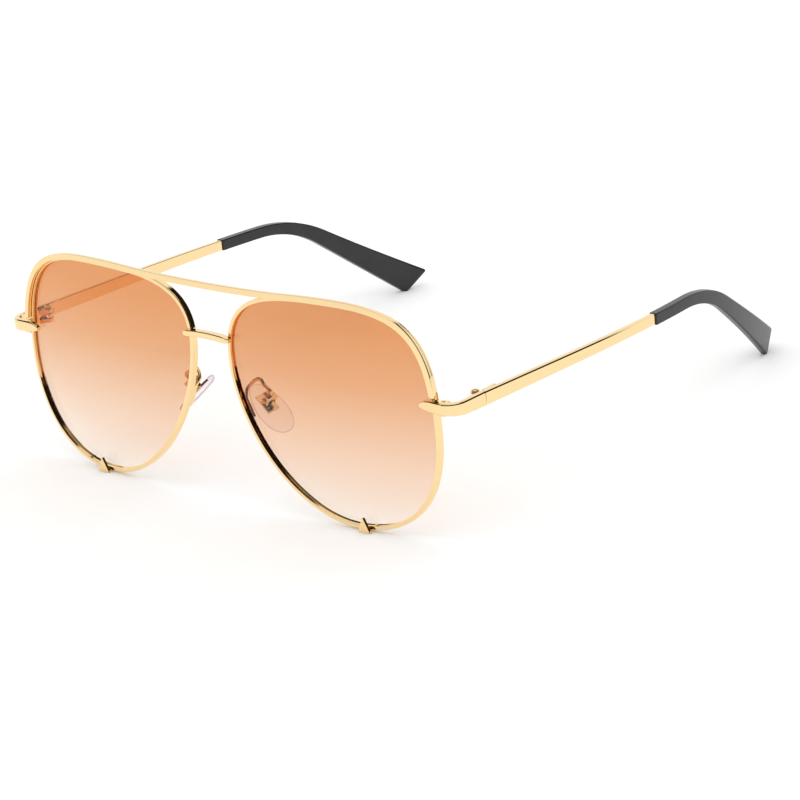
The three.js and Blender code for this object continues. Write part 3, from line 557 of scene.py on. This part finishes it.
fit_pair(extruded("left_end_strip", sections), "end_piece", "front", "gold")

# %% [markdown]
# ## Temples
# A temple is a strip that runs back from the hinge, level with the end-piece at first, and then
# drops behind the ear. It also bends in towards the head. Its middle line could be a curve
# object, but the tips have to reach the table exactly, so the line is a formula: a straight, an
# arc and a straight, with the last one as long as the drop needs. The toe-in is added after that
# as a sideways shift that grows towards the end.

# %% The line of the temples
TEMPLE_SLOPE = deg(2.8)
EAR_DISTANCE = 89.4 * MM        # hinge to the corner of the ear bend
EAR_DROP = deg(38.3)            # below level
EAR_RADIUS = 34 * MM
TOE_IN = 14.1 * MM
TOE_START = 21 * MM             # behind the hinge
TIP_END_HEIGHT = 8.0 * MM
TIP_END_CUT = deg(15)
TIP_ROUNDING = 0.7 * MM

bend_turn = EAR_DROP - TEMPLE_SLOPE
straight_length = EAR_DISTANCE / math.cos(TEMPLE_SLOPE) - EAR_RADIUS * math.tan(bend_turn / 2)
bend_length = EAR_RADIUS * bend_turn


def side_line(distance):
    """Place and downward angle of the temple's middle line, seen from the side."""
    straight = min(distance, straight_length)
    angle = TEMPLE_SLOPE + min(max(distance - straight_length, 0), bend_length) / EAR_RADIUS
    drop = max(0, distance - straight_length - bend_length)
    y = (HINGE_Y + JOINT_GAP / 2 + straight * math.cos(TEMPLE_SLOPE)
         + EAR_RADIUS * (math.sin(angle) - math.sin(TEMPLE_SLOPE)) + drop * math.cos(EAR_DROP))
    z = (END_Z - straight * math.sin(TEMPLE_SLOPE)
         - EAR_RADIUS * (math.cos(TEMPLE_SLOPE) - math.cos(angle)) - drop * math.sin(EAR_DROP))
    return y, z, angle


corner_height = TIP_END_HEIGHT / 2 - TIP_ROUNDING
corner_drop = corner_height * (math.cos(EAR_DROP) - math.tan(TIP_END_CUT) * math.sin(EAR_DROP))
bend_end_z = side_line(straight_length + bend_length)[1]
temple_length = straight_length + bend_length + (bend_end_z - corner_drop) / math.sin(EAR_DROP)
temple_end_y = side_line(temple_length)[0]


def toe_in(y):
    share = (y - HINGE_Y - TOE_START) / (temple_end_y - HINGE_Y - TOE_START)
    return TOE_IN * max(0, share) ** 3


def across(distance, width, height, edge, back_edge=None, lean=0.0):
    """A rounded section across the temple's line, its top leaning on along the line."""
    y, z, angle = side_line(distance)
    w, h, back = width / 2, height / 2, back_edge or edge
    section = []
    for side, up in rounded([(w, -h, edge), (w, h, edge), (-w, h, back), (-w, -h, back)]):
        on = up * math.tan(lean)
        point_y = y + up * math.sin(angle) + on * math.cos(angle)
        point_z = z + up * math.cos(angle) - on * math.sin(angle)
        x = OUTER_X - STRIP_THICKNESS / 2 + side - toe_in(point_y)
        section.append(Vector((x, point_y, point_z)))
    return section


print("Hinge to tip along the temple, mm:", round(1000 * temple_length, 1))

# %% [markdown]
# The metal strip gets a little lower towards the ear and goes on inside the tip as a thin core.
# The tip is a moulded sleeve. It could be a solid stick with the core hidden in it, but then two
# solids would fill the same space. So the tip is pushed in one go from the closed end of its
# cavity out to its mouth, over the lip, and back along its outer skin to a rounded end.

# %% Temples and tips
TEMPLE_STEP = 0.1 * MM          # lower than the end-piece at the hinge
TEMPLE_END_HEIGHT = 2.8 * MM
TEMPLE_EDGE = 0.45 * MM         # of its outer face
TEMPLE_BACK_EDGE = 0.15 * MM
TIP_START = 64.7 * MM           # along the temple from the hinge
TIP_THICKNESS = 2.3 * MM
TIP_HEIGHT = 3.0 * MM
TIP_LIP = 0.25 * MM
TIP_WIDENING = 1.5              # power with which the tip grows towards its end
TIP_CORNER = 0.3 * MM           # rounding of its edges at the mouth
TIP_CORNER_GROWTH = 0.4 * MM    # and how much is added towards its end
TIP_LEAST_CORNER = 0.2 * MM
TIP_END_FULLNESS = 0.9          # of the round end, where 1 is a quarter circle
CORE_WIDTH = 0.9 * MM
CORE_HEIGHT = 1.5 * MM
CORE_EDGE = 0.2 * MM
CORE_CLEARANCE = 0.12 * MM
CORE_SHORT_OF_END = 9 * MM
CAVITY_SPARE = 0.3 * MM         # beyond the end of the core
STRIP_STEPS = 24
CORE_STEPS = 20
SKIN_STEPS = 36
LIP_STEPS = 3
ROUND_END_STEPS = 5


def core_section(distance, spare):
    return across(distance, CORE_WIDTH + 2 * spare, CORE_HEIGHT + 2 * spare, CORE_EDGE)


def run(start, end, steps):
    return [start + (end - start) * share for share in shares(steps)]


def strip_section(distance):
    height = END_HEIGHT - TEMPLE_STEP + (TEMPLE_END_HEIGHT - END_HEIGHT) * distance / TIP_START
    return across(distance, STRIP_THICKNESS, height, TEMPLE_EDGE, TEMPLE_BACK_EDGE)


def tip_section(distance, inset=0.0):
    share = max(0, (distance - straight_length) / (temple_length - straight_length)) ** TIP_WIDENING
    height = TIP_HEIGHT + (TIP_END_HEIGHT - TIP_HEIGHT) * share - 2 * inset
    corner = min(TIP_ROUNDING, TIP_CORNER + TIP_CORNER_GROWTH * share)
    edge = max(TIP_LEAST_CORNER, corner - inset / 2)
    lean = TIP_END_CUT * share * share
    return across(distance, TIP_THICKNESS - 2 * inset, height, edge, lean=lean)


core_end = temple_length - CORE_SHORT_OF_END
temple = extruded("left_temple_strip", [
    *[strip_section(distance) for distance in run(0, TIP_START, STRIP_STEPS)],
    *[core_section(distance, 0) for distance in run(TIP_START + SOLDER_GAP, core_end, CORE_STEPS)],
])
fit_pair(temple, "temple", "side_temple_body", "gold")

tip_mouth = TIP_START + SOLDER_GAP
lip = [(tip_mouth + TIP_LIP * (1 - math.cos(a)), TIP_LIP * (1 - math.sin(a)))
       for a in run(0, math.pi / 2, LIP_STEPS)]
skin = run(tip_mouth + TIP_LIP, temple_length - TIP_ROUNDING, SKIN_STEPS)[1:-1]
round_end = [(temple_length - TIP_ROUNDING * (1 - math.sin(a)),
              TIP_ROUNDING * (1 - math.cos(a)) * TIP_END_FULLNESS)
             for a in run(0, math.pi / 2, ROUND_END_STEPS)]
tip = extruded("left_ear_tip", [
    *[core_section(distance, CORE_CLEARANCE)
      for distance in run(core_end + CAVITY_SPARE, tip_mouth, CORE_STEPS)],
    *[tip_section(distance, inset) for distance, inset in lip],
    *[tip_section(distance) for distance in skin],
    *[tip_section(distance, inset) for distance, inset in round_end],
])
fit_pair(tip, "temple_tip", "side_temple_body", "tip")

# %% [markdown]
# ## Small stamped and milled parts
# The hinge halves, the rim locks, the clips under the rims and the boxes that hold the pads are
# small and true in the CAD already. Modelling them again could only add errors. What they lack
# is the tumbled edge that catches the light, so a copy of each is merged into clean faces and
# its edges are bevelled.

# %% Parts taken from the frame
def from_frame(node, name, edge):
    """A merged copy of a CAD node, back at the drawing's origin, with softened edges."""
    piece = bpy.data.objects.new(name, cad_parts[node].data.copy())
    bpy.context.collection.objects.link(piece)
    piece.data.materials.clear()
    piece.data.transform(TO_FRAME.inverted())
    only(piece)
    bpy.ops.mesh.customdata_custom_splitnormals_clear()
    bpy.ops.object.mode_set(mode="EDIT")
    bpy.ops.mesh.select_all(action="SELECT")
    bpy.ops.mesh.remove_doubles(threshold=0.001 * MM)
    bpy.ops.mesh.dissolve_limited(angle_limit=deg(1))
    bpy.ops.object.mode_set(mode="OBJECT")
    apply(piece, "BEVEL", width=edge, segments=2, limit_method="ANGLE", angle_limit=deg(35))
    return piece


for node, name, body, edge in (
    ("rim_foot", "left_rim_clip", "front", 0.12 * MM),
    ("rim_lock_upper", "left_upper_lock_block", "front", 0.2 * MM),
    ("rim_lock_lower", "left_lower_lock_block", "front", 0.2 * MM),
    ("hinge_front", "left_front_hinge_half", "front", 0.1 * MM),
    ("hinge_temple", "left_temple_hinge_half", "side_temple_body", 0.1 * MM),
    ("pad_box", "left_pad_holder", "front", 0.1 * MM),
    ("pad_insert", "left_pad_plate", "side_pad_body", 0.08 * MM),
):
    fit_pair(from_frame(f"left_{node}", name, edge), node, body, "gold")

# %% [markdown]
# ## Screws
# Each side has three slotted screws: the hinge pin, the rim lock and the pin of the pad. A
# cylinder with a larger one on top would do from afar, but close up a screw shows a domed head
# and a slot. So a small circle is pushed through the profile of shank and head, and a thin block
# is cut out of the head with a Boolean modifier.

# %% Screws
SCREW_SIDES = 32
SCREW_SLOT = 0.22 * MM
END_CHAMFER = 0.12 * MM


def circle(radius, z):
    angles = [2 * math.pi * i / SCREW_SIDES for i in range(SCREW_SIDES)]
    return [Vector((radius * math.cos(a), radius * math.sin(a), z)) for a in angles]


def cut(piece, size, place):
    """Cuts a block out of a piece."""
    bpy.ops.object.select_all(action="DESELECT")
    bpy.ops.mesh.primitive_cube_add(size=1, location=place, scale=size)
    block = bpy.context.active_object
    apply(piece, "BOOLEAN", operation="DIFFERENCE", object=block, solver="EXACT")
    bpy.data.objects.remove(block)


def slotted_screw(name, radius, head, height, length, where):
    """A screw that stands on its shank's end, its head upwards, moved by where."""
    profile = [
        (radius - END_CHAMFER, -length), (radius, END_CHAMFER - length), (radius, 0),
        (head * 0.96, 0), (head, height * 0.1), (head, height * 0.55), (head * 0.95, height * 0.8),
        (head * 0.82, height * 0.95), (head * 0.6, height), (head * 0.3, height),
    ]
    screw = extruded(name, [circle(r, z) for r, z in profile])
    cut(screw, (3 * head, SCREW_SLOT, height), (0, 0, height))
    screw.data.transform(where)
    return screw


# %% [markdown]
# The places of the screws come from the frame: each has its node's box, and only its length and
# the way that it points are said again here.

# %% Fit the screws
PIN_RADIUS = 0.5 * MM
PIN_HEAD = 0.95 * MM
PIN_HEAD_HEIGHT = 0.42 * MM
LOCK_SCREW_HEAD = 0.9 * MM
LOCK_SCREW_HEAD_HEIGHT = 0.35 * MM


def upright_screw(node, name, radius, head, height, head_up):
    """A screw along Z in the box of its node."""
    low, high = (TO_FRAME.inverted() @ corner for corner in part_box(node))
    middle = (low + high) / 2
    shoulder = high.z - height if head_up else low.z + height
    where = Matrix.Translation((middle.x, middle.y, shoulder))
    if not head_up:
        where = where @ Matrix.Rotation(math.pi, 4, "X")
    return slotted_screw(name, radius, head, height, high.z - low.z - height, where)


pin = upright_screw("left_hinge_screw", "left_hinge_pin", PIN_RADIUS, PIN_HEAD, PIN_HEAD_HEIGHT, True)
fit_pair(pin, "hinge_screw", "front", "screw")
lock = upright_screw("left_rim_lock_screw", "left_lock_pin", PIN_RADIUS, LOCK_SCREW_HEAD,
                     LOCK_SCREW_HEAD_HEIGHT, False)
fit_pair(lock, "rim_lock_screw", "front", "screw")

# %% [markdown]
# ## Nose pads
# A pad is a soft, clear drop of silicone that rocks on its screw, with a metal plate moulded
# into its back. A squashed sphere would be too thick in the middle. A pad is flat behind, has a
# rolled edge and is slightly dished where it touches the nose. So an oval, narrower at its top,
# is pushed out from the back and then in again over the dish. The pads stand at an angle to
# everything else, so they are drawn about their own screw and turned into place.

# %% The pads' own frame, and the pads
PAD_AXIS = Vector((12.9, 6.0, 27.2)) * MM
PAD_TURN = deg(-20)
PAD_TILT = deg(-48)
PAD_ROLL = deg(12)
PAD_FRAME = (Matrix.Translation(PAD_AXIS) @ Matrix.Rotation(PAD_TURN, 4, "Z")
             @ Matrix.Rotation(PAD_TILT, 4, "Y") @ Matrix.Rotation(PAD_ROLL, 4, "X"))
PAD_LENGTH = 15.2 * MM
PAD_WIDTH = 7.8 * MM
PAD_THICKNESS = 1.7 * MM
PAD_TAPER = 0.16                # how much the oval widens below its middle
PAD_BELOW_AXIS = 1.5 * MM
PAD_BACK = 1.5 * MM             # from the screw to the back of the pad
PAD_SIDES = 48
INSERT_LENGTH = 5.2 * MM
INSERT_WIDTH = 3.2 * MM
INSERT_THICKNESS = 0.5 * MM
INSERT_CLEARANCE = 0.1 * MM


def pad_ring(size, depth):
    """The pad's oval at a share of its full size and a share of its thickness."""
    points = []
    for i in range(PAD_SIDES):
        angle = 2 * math.pi * i / PAD_SIDES
        down, side = math.cos(angle) * size, math.sin(angle) * size
        width = PAD_WIDTH / 2 * side * (1 + PAD_TAPER * down)
        points.append(Vector((
            -PAD_BACK - PAD_THICKNESS * depth, width, -PAD_BELOW_AXIS - PAD_LENGTH / 2 * down)))
    return points


PAD_PROFILE = [
    (0.1, 0), (0.45, 0), (0.84, 0), (0.93, 0.06), (0.985, 0.2), (1, 0.42), (0.985, 0.62),
    (0.94, 0.8), (0.86, 0.93), (0.76, 0.99), (0.66, 1), (0.56, 0.98), (0.42, 0.92), (0.24, 0.87),
    (0.08, 0.85),
]
pad = extruded("left_clear_pad", [pad_ring(size, depth) for size, depth in PAD_PROFILE])
pocket = (2 * (INSERT_THICKNESS + INSERT_CLEARANCE), INSERT_WIDTH + 2 * INSERT_CLEARANCE,
          INSERT_LENGTH + 2 * INSERT_CLEARANCE)
cut(pad, pocket, (-PAD_BACK, 0, 0))
pad.data.transform(PAD_FRAME)
fit_pair(pad, "nose_pad", "side_pad_body", "pad")

# %% [markdown]
# ## Pad arms and pad screws
# Each arm is a round wire. Its foot is soldered along the back of the rim, and from there it
# swings back, over and down into the pad's holder. A chain of straight pieces would kink, and a
# free curve could miss its two ends. So the wire passes through a few chosen points, and between
# two of them it follows a Bezier curve whose handles run along the way from the point before to
# the point after. Each ring of the wire is turned from the last one by the smallest turn, so
# that it doesn't twist.

# %% Pad arms
WIRE_RADIUS = 0.5 * MM
WIRE_FROM_RIM = 0.16 * MM
WIRE_SEAT = 2.2 * MM            # soldered up and down from the pad screw's height
WIRE_OFF_RIM = Vector((-0.3, 1.6, 2.0)) * MM    # first turn, from the seat's top
WIRE_PEAK = Vector((-1.8, -0.5, 5.1)) * MM      # from the pad screw
WIRE_DESCENT = Vector((-0.3, -0.5, 3.7)) * MM
WIRE_END = 1.3 * MM             # last turn, out from the holder
WIRE_SIDES = 14
WIRE_STEPS = 7                  # between two of the points on its route
LUG_REACH = 0.85 * MM
LUG_WIDTH = 1.3 * MM
BOX_WALL = 0.55 * MM
BOX_CLEARANCE = 0.16 * MM
HOLDER_SPARE = 0.25 * MM        # behind the lug


def soft_line(points, steps):
    """Close points on a smooth line through all the given ones."""
    line = []
    for i, (start, end) in enumerate(zip(points, points[1:])):
        before, after = points[max(i - 1, 0)], points[min(i + 2, len(points) - 1)]
        reach = (end - start).length / 3
        leave = (end - before).normalized() * reach
        arrive = (after - start).normalized() * reach
        line += interpolate_bezier(start, start + leave, end - arrive, end, steps)[:-1]
    return [*line, points[-1]]


def wire_rings(line, radius):
    heading = (line[1] - line[0]).normalized()
    side = heading.orthogonal().normalized()
    rings = []
    for i, place in enumerate(line):
        onward = (line[min(i + 1, len(line) - 1)] - line[max(i - 1, 0)]).normalized()
        side = heading.rotation_difference(onward) @ side
        heading = onward
        angles = [2 * math.pi * k / WIRE_SIDES for k in range(WIRE_SIDES)]
        up = heading.cross(side)
        rings.append([place + (side * math.cos(a) + up * math.sin(a)) * radius for a in angles])
    return rings


def along_rim(z):
    """The wire's middle where it lies on the back of the rim."""
    return on_front(stop_at(z, False), RIM_WIDTH / 2, RIM_DEPTH + WIRE_FROM_RIM + WIRE_RADIUS)


seat = LUG_REACH + HOLDER_SPARE + BOX_WALL + SOLDER_GAP
seat_top = along_rim(PAD_AXIS.z + WIRE_SEAT)
route = [
    along_rim(PAD_AXIS.z - WIRE_SEAT), along_rim(PAD_AXIS.z), seat_top, seat_top + WIRE_OFF_RIM,
    PAD_AXIS + WIRE_PEAK, PAD_AXIS + WIRE_DESCENT,
    PAD_FRAME @ Vector((seat + WIRE_END, 0, WIRE_RADIUS)),
    PAD_FRAME @ Vector((seat + WIRE_RADIUS, 0, 0)), PAD_FRAME @ Vector((seat, 0, 0)),
]
arm = extruded("left_pad_wire", wire_rings(soft_line(route, WIRE_STEPS), WIRE_RADIUS))
fit_pair(arm, "pad_arm", "front", "gold")

PAD_SCREW_RADIUS = 0.4 * MM
PAD_SCREW_HEAD = 0.72 * MM
PAD_SCREW_HEAD_HEIGHT = 0.4 * MM
holder_half = LUG_WIDTH / 2 + BOX_CLEARANCE + BOX_WALL
screw_place = Matrix.Translation((0, -holder_half - SOLDER_GAP, 0))
pad_screw = slotted_screw(
    "left_pad_pin", PAD_SCREW_RADIUS, PAD_SCREW_HEAD, PAD_SCREW_HEAD_HEIGHT, 2 * holder_half,
    PAD_FRAME @ screw_place @ Matrix.Rotation(math.pi / 2, 4, "X"))
fit_pair(pad_screw, "pad_screw", "front", "screw")
print(len(made), "pieces made")

# %% [markdown]
# ## Writing finishes
# A finish is a small tree of shader nodes. Linked by hand, even `a * b + c` takes a page of
# code. So a socket is wrapped in a class that understands plus, minus and times, and one method
# adds any other node: it takes the node's type, its settings, and a value or a link for each of
# its sockets.

# %% Helpers for finishes
class Socket:
    """An output of a node, for use in sums."""

    def __init__(self, finish, output):
        self.finish = finish
        self.output = output

    def maths(self, operation, first, second):
        return self.finish.node("Math", {"operation": operation}, {0: first, 1: second})["Value"]

    def __add__(self, other):
        return self.maths("ADD", self, other)

    def __sub__(self, other):
        return self.maths("SUBTRACT", self, other)

    def __rsub__(self, other):
        return self.maths("SUBTRACT", other, self)

    def __mul__(self, other):
        return self.maths("MULTIPLY", self, other)

    def __truediv__(self, other):
        return self.maths("DIVIDE", self, other)

    def __pow__(self, other):
        return self.maths("POWER", self, other)

    __radd__ = __add__
    __rmul__ = __mul__


class Finish:
    """A node tree that is written one node at a time."""

    def __init__(self, owner):
        self.owner = owner
        owner.use_nodes = True
        self.tree = owner.node_tree
        self.tree.nodes.clear()

    def node(self, kind, settings, values):
        """Adds a node. Returns its outputs by name."""
        node = self.tree.nodes.new("ShaderNode" + kind)
        for name, setting in settings.items():
            if name == "stops":
                ramp = node.color_ramp
                while len(ramp.elements) < len(setting):
                    ramp.elements.new(0.5)
                for stop, (position, colour) in zip(ramp.elements, setting):
                    stop.position = position
                    stop.color = colour if len(colour) == 4 else (*colour, 1)
            else:
                setattr(node, name, setting)
        for name, value in values.items():
            if isinstance(value, Socket):
                self.tree.links.new(value.output, node.inputs[name])
            else:
                node.inputs[name].default_value = value
        return {output.name: Socket(self, output) for output in node.outputs if output.enabled}

    def output(self, kind, shader):
        self.node("Output" + kind, {}, {"Surface": shader})
        return self.owner


def material(name):
    return Finish(bpy.data.materials.new(name))


def grey(share):
    return (share, share, share)


# %% [markdown]
# ## Polished gold plate
# The frame is steel with a thin pale gold plating, buffed to a soft mirror. A metal takes its
# colour from its reflections, so Metallic is 1 and the base colour is that of a white reflection
# in gold. Buffing is never even: a fine noise changes the roughness from place to place, and a
# much weaker one in the bump breaks the reflections up like orange peel. The screws are the same
# metal, turned on a lathe and left a little duller.

# %% Gold and screw finishes
def plated(name, colour, low, high, peel):
    """A polished metal whose roughness wanders between two values."""
    finish = material(name)
    place = finish.node("TexCoord", {}, {})["Object"]
    buffing = finish.node("TexNoise", {}, {"Vector": place, "Scale": 260, "Detail": 4.0})["Fac"]
    grain = finish.node("TexNoise", {}, {"Vector": place, "Scale": 1500, "Detail": 2.0})["Fac"]
    bump = finish.node("Bump", {}, {"Strength": peel, "Distance": 0.02 * MM, "Height": grain})
    shader = finish.node("BsdfPrincipled", {}, {
        "Base Color": (*colour, 1), "Metallic": 1.0,
        "Roughness": low + (high - low) * buffing, "Normal": bump["Normal"],
    })
    return finish.output("Material", shader["BSDF"])


GOLD = (0.95, 0.715, 0.385)
SCREW_GOLD = (0.80, 0.60, 0.31)
gold = plated("polished gold plate", GOLD, 0.03, 0.08, 0.06)
screw_metal = plated("turned screw metal", SCREW_GOLD, 0.2, 0.38, 0.25)

# %% [markdown]
# ## Gradient lenses
# The lenses are dip-dyed: deep amber at the top, nearly clear at the bottom. Light passes
# through both faces of a lens, so a face lets through the square root of what the whole lens
# does. Glass shaders would bend the light and darken the table, which lenses this thin hardly
# do. So each face is a Transparent shader, dark and light tints mixed by height, and a thin
# mirror on top that grows at grazing angles.

# %% Lens finish
TOP_TINT = (0.862, 0.556, 0.336)
BOTTOM_TINT = (1.0, 0.985, 0.96)
FACE_ON_MIRROR = 0.04           # share of light that plastic reflects straight back


def dyed(name):
    finish = material(name)
    low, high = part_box("left_lens")
    place = finish.node("TexCoord", {}, {})["Object"]
    height = finish.node("SeparateXYZ", {}, {"Vector": place})["Z"]
    share = (height - low.z) / (high.z - low.z)
    clear = finish.node("ValToRGB", {"stops": [
        (0.0, grey(1.0)), (0.25, grey(0.67)), (0.5, grey(0.37)), (0.65, grey(0.17)),
        (0.9, grey(0.0)),
    ]}, {"Fac": share})["Color"]
    dark = finish.node("BsdfTransparent", {}, {"Color": (*TOP_TINT, 1)})["BSDF"]
    light = finish.node("BsdfTransparent", {}, {"Color": (*BOTTOM_TINT, 1)})["BSDF"]
    tint = finish.node("MixShader", {}, {0: clear, 1: dark, 2: light})["Shader"]
    slant = finish.node("LayerWeight", {}, {"Blend": 0.5})["Facing"]
    mirror = FACE_ON_MIRROR + (1 - FACE_ON_MIRROR) * slant ** 5
    gloss = finish.node("BsdfGlossy", {}, {"Color": (1, 1, 1, 1), "Roughness": 0.03})["BSDF"]
    face = finish.node("MixShader", {}, {0: mirror, 1: tint, 2: gloss})["Shader"]
    return finish.output("Material", face)


lens_tint = dyed("gradient amber tint")

# %% [markdown]
# ## Ear tips and pads
# The tips are charcoal plastic, satin from the mould, with a faint mottle and a shallow grain
# that keeps their highlights soft. The pads are clear silicone with a hint of rose. A clear
# solid this small mostly shows its outline, because there the light passes through more of it.
# Layer Weight knows where a face is seen edge-on, so it makes the outline denser.

# %% Tip and pad finishes
CHARCOAL = (0.006, 0.006, 0.0065)
CHARCOAL_WORN = (0.016, 0.016, 0.017)
ROSE = (0.36, 0.23, 0.23)
CLEAR_ROSE = (0.985, 0.965, 0.975)
FACE_ON_DENSITY = 0.02          # of the pads, which grows to 1 at their outline


def moulded(name):
    finish = material(name)
    place = finish.node("TexCoord", {}, {})["Object"]
    mottle = finish.node("TexNoise", {}, {"Vector": place, "Scale": 180, "Detail": 5.0})["Fac"]
    grain = finish.node("TexNoise", {}, {"Vector": place, "Scale": 2600, "Detail": 2.0})["Fac"]
    stops = [(0.35, CHARCOAL), (0.75, CHARCOAL_WORN)]
    colour = finish.node("ValToRGB", {"stops": stops}, {"Fac": mottle})
    bump = finish.node("Bump", {}, {"Strength": 0.2, "Distance": 0.02 * MM, "Height": grain})
    shader = finish.node("BsdfPrincipled", {}, {
        "Base Color": colour["Color"], "Roughness": 0.2 + 0.14 * mottle, "Normal": bump["Normal"],
    })
    return finish.output("Material", shader["BSDF"])


def silicone(name):
    finish = material(name)
    place = finish.node("TexCoord", {}, {})["Object"]
    cloud = finish.node("TexNoise", {}, {"Vector": place, "Scale": 500, "Detail": 3.0})["Fac"]
    slant = finish.node("LayerWeight", {}, {"Blend": 0.5})["Facing"]
    body = finish.node("BsdfPrincipled", {}, {
        "Base Color": (*ROSE, 1), "Roughness": 0.12 + 0.1 * cloud,
    })["BSDF"]
    clear = finish.node("BsdfTransparent", {}, {"Color": (*CLEAR_ROSE, 1)})["BSDF"]
    density = FACE_ON_DENSITY + (1 - FACE_ON_DENSITY) * slant ** 3
    blend = finish.node("MixShader", {}, {0: density, 1: clear, 2: body})["Shader"]
    return finish.output("Material", blend)


FINISHES = {
    "gold": gold,
    "screw": screw_metal,
    "lens": lens_tint,
    "tip": moulded("satin charcoal plastic"),
    "pad": silicone("clear silicone"),
}
for piece in made:
    piece.data.materials.clear()
    piece.data.materials.append(FINISHES[piece["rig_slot"]])
print("Finishes:", sorted(FINISHES))

# %% [markdown]
# ## Studio
# Metal shows nothing but its surroundings. On a white table under a white sky gold would have
# no edges at all, so a photographer hangs dark cloths that only the rounded edges reflect. Black
# planes would do that, but they would also shade the table and show in a view from the side. So
# the sky itself is white with two dark cloths painted on it, one high in front and one at the
# side, and only reflections see them. One large soft lamp overhead adds the gentle shadows.

# %% Table, sky and lamp
TABLE_SIZE = 6.0
LAMP_PLACE = (0.1, -0.1, 1.2)
LAMP_SIZE = 1.2
LAMP_ENERGY = 2.6
CLOTH = (0.012, 0.01, 0.008)
SHIFT = 0.5                     # a ramp starts at 0, so X is moved up before it is read


def table_top(name):
    finish = material(name)
    place = finish.node("TexCoord", {}, {})["Object"]
    speckle = finish.node("TexNoise", {}, {"Vector": place, "Scale": 60, "Detail": 3.0})["Fac"]
    stops = [(0.3, grey(0.95)), (0.7, grey(0.965))]
    colour = finish.node("ValToRGB", {"stops": stops}, {"Fac": speckle})
    shader = finish.node("BsdfDiffuse", {}, {"Color": colour["Color"]})
    return finish.output("Material", shader["BSDF"])


def sky(name):
    finish = Finish(bpy.data.worlds.new(name))

    def ramp(value, *stops):
        """A soft-edged mask: each stop is a place on the axis and how dark it is there."""
        shades = [(at, grey(shade)) for at, shade in stops]
        return finish.node("ValToRGB", {"stops": shades}, {"Fac": value})["Color"]

    look = finish.node("TexCoord", {}, {})["Generated"]
    way = finish.node("SeparateXYZ", {}, {"Vector": look})
    high_cloth = (ramp(way["Z"], (0.4, 0), (0.46, 1), (0.84, 1), (0.9, 0))
                  * ramp(way["Y"], (0.4, 1), (0.5, 0)))
    side_cloth = (ramp(way["Z"], (0.0, 1), (0.84, 1), (0.9, 0))
                  * ramp(way["X"] + SHIFT, (0.3, 0), (0.4, 1))
                  * ramp(way["Y"], (0.775, 1), (0.79, 0)))
    cloth = finish.node("Math", {"operation": "MAXIMUM"}, {0: high_cloth, 1: side_cloth})["Value"]
    mirrored_only = finish.node("LightPath", {}, {})["Is Glossy Ray"]
    dark = cloth * mirrored_only
    colour = finish.node("Mix", {"data_type": "RGBA"}, {0: dark, 6: (1, 1, 1, 1), 7: (*CLOTH, 1)})
    shader = finish.node("Background", {}, {"Color": colour["Result"], "Strength": 1.0})
    return finish.output("World", shader["Background"])


bpy.ops.object.select_all(action="DESELECT")
bpy.ops.mesh.primitive_plane_add(size=TABLE_SIZE)
table = bpy.context.active_object
table.name = "table_top"
table.data.materials.append(table_top("white table"))

bpy.context.scene.world = sky("studio sky")
bpy.ops.object.light_add(type="AREA", location=LAMP_PLACE)
lamp = bpy.context.active_object
lamp.data.size = LAMP_SIZE
lamp.data.energy = LAMP_ENERGY
lamp.visible_glossy = False
bpy.context.scene.view_settings.view_transform = "Standard"

# %% [markdown]
# ## Camera
# A long lens from well back keeps the two lenses nearly the same size, as in a catalogue. The
# camera is described as a photographer would: where it looks, from which side, how high, how
# far away, and how much it is tilted.

# %% Camera
LOOK_AT = Vector((33.63, -40.83, 21.34)) * MM
AZIMUTH = deg(44.55)
ELEVATION = deg(20.59)
TILT = deg(-7.73)
DISTANCE = 894.0 * MM
FOCAL_LENGTH = 164.85

aim = Matrix.Rotation(AZIMUTH, 4, "Z") @ Matrix.Rotation(math.pi / 2 - ELEVATION, 4, "X")
stand = LOOK_AT + aim.to_3x3() @ Vector((0, 0, DISTANCE))
bpy.ops.object.camera_add(location=stand, rotation=(aim @ Matrix.Rotation(TILT, 4, "Z")).to_euler())
camera = bpy.context.active_object
camera.data.lens = FOCAL_LENGTH
camera.data.clip_start = 0.01
bpy.context.scene.camera = camera
print("Camera stands at", [round(part, 4) for part in stand])
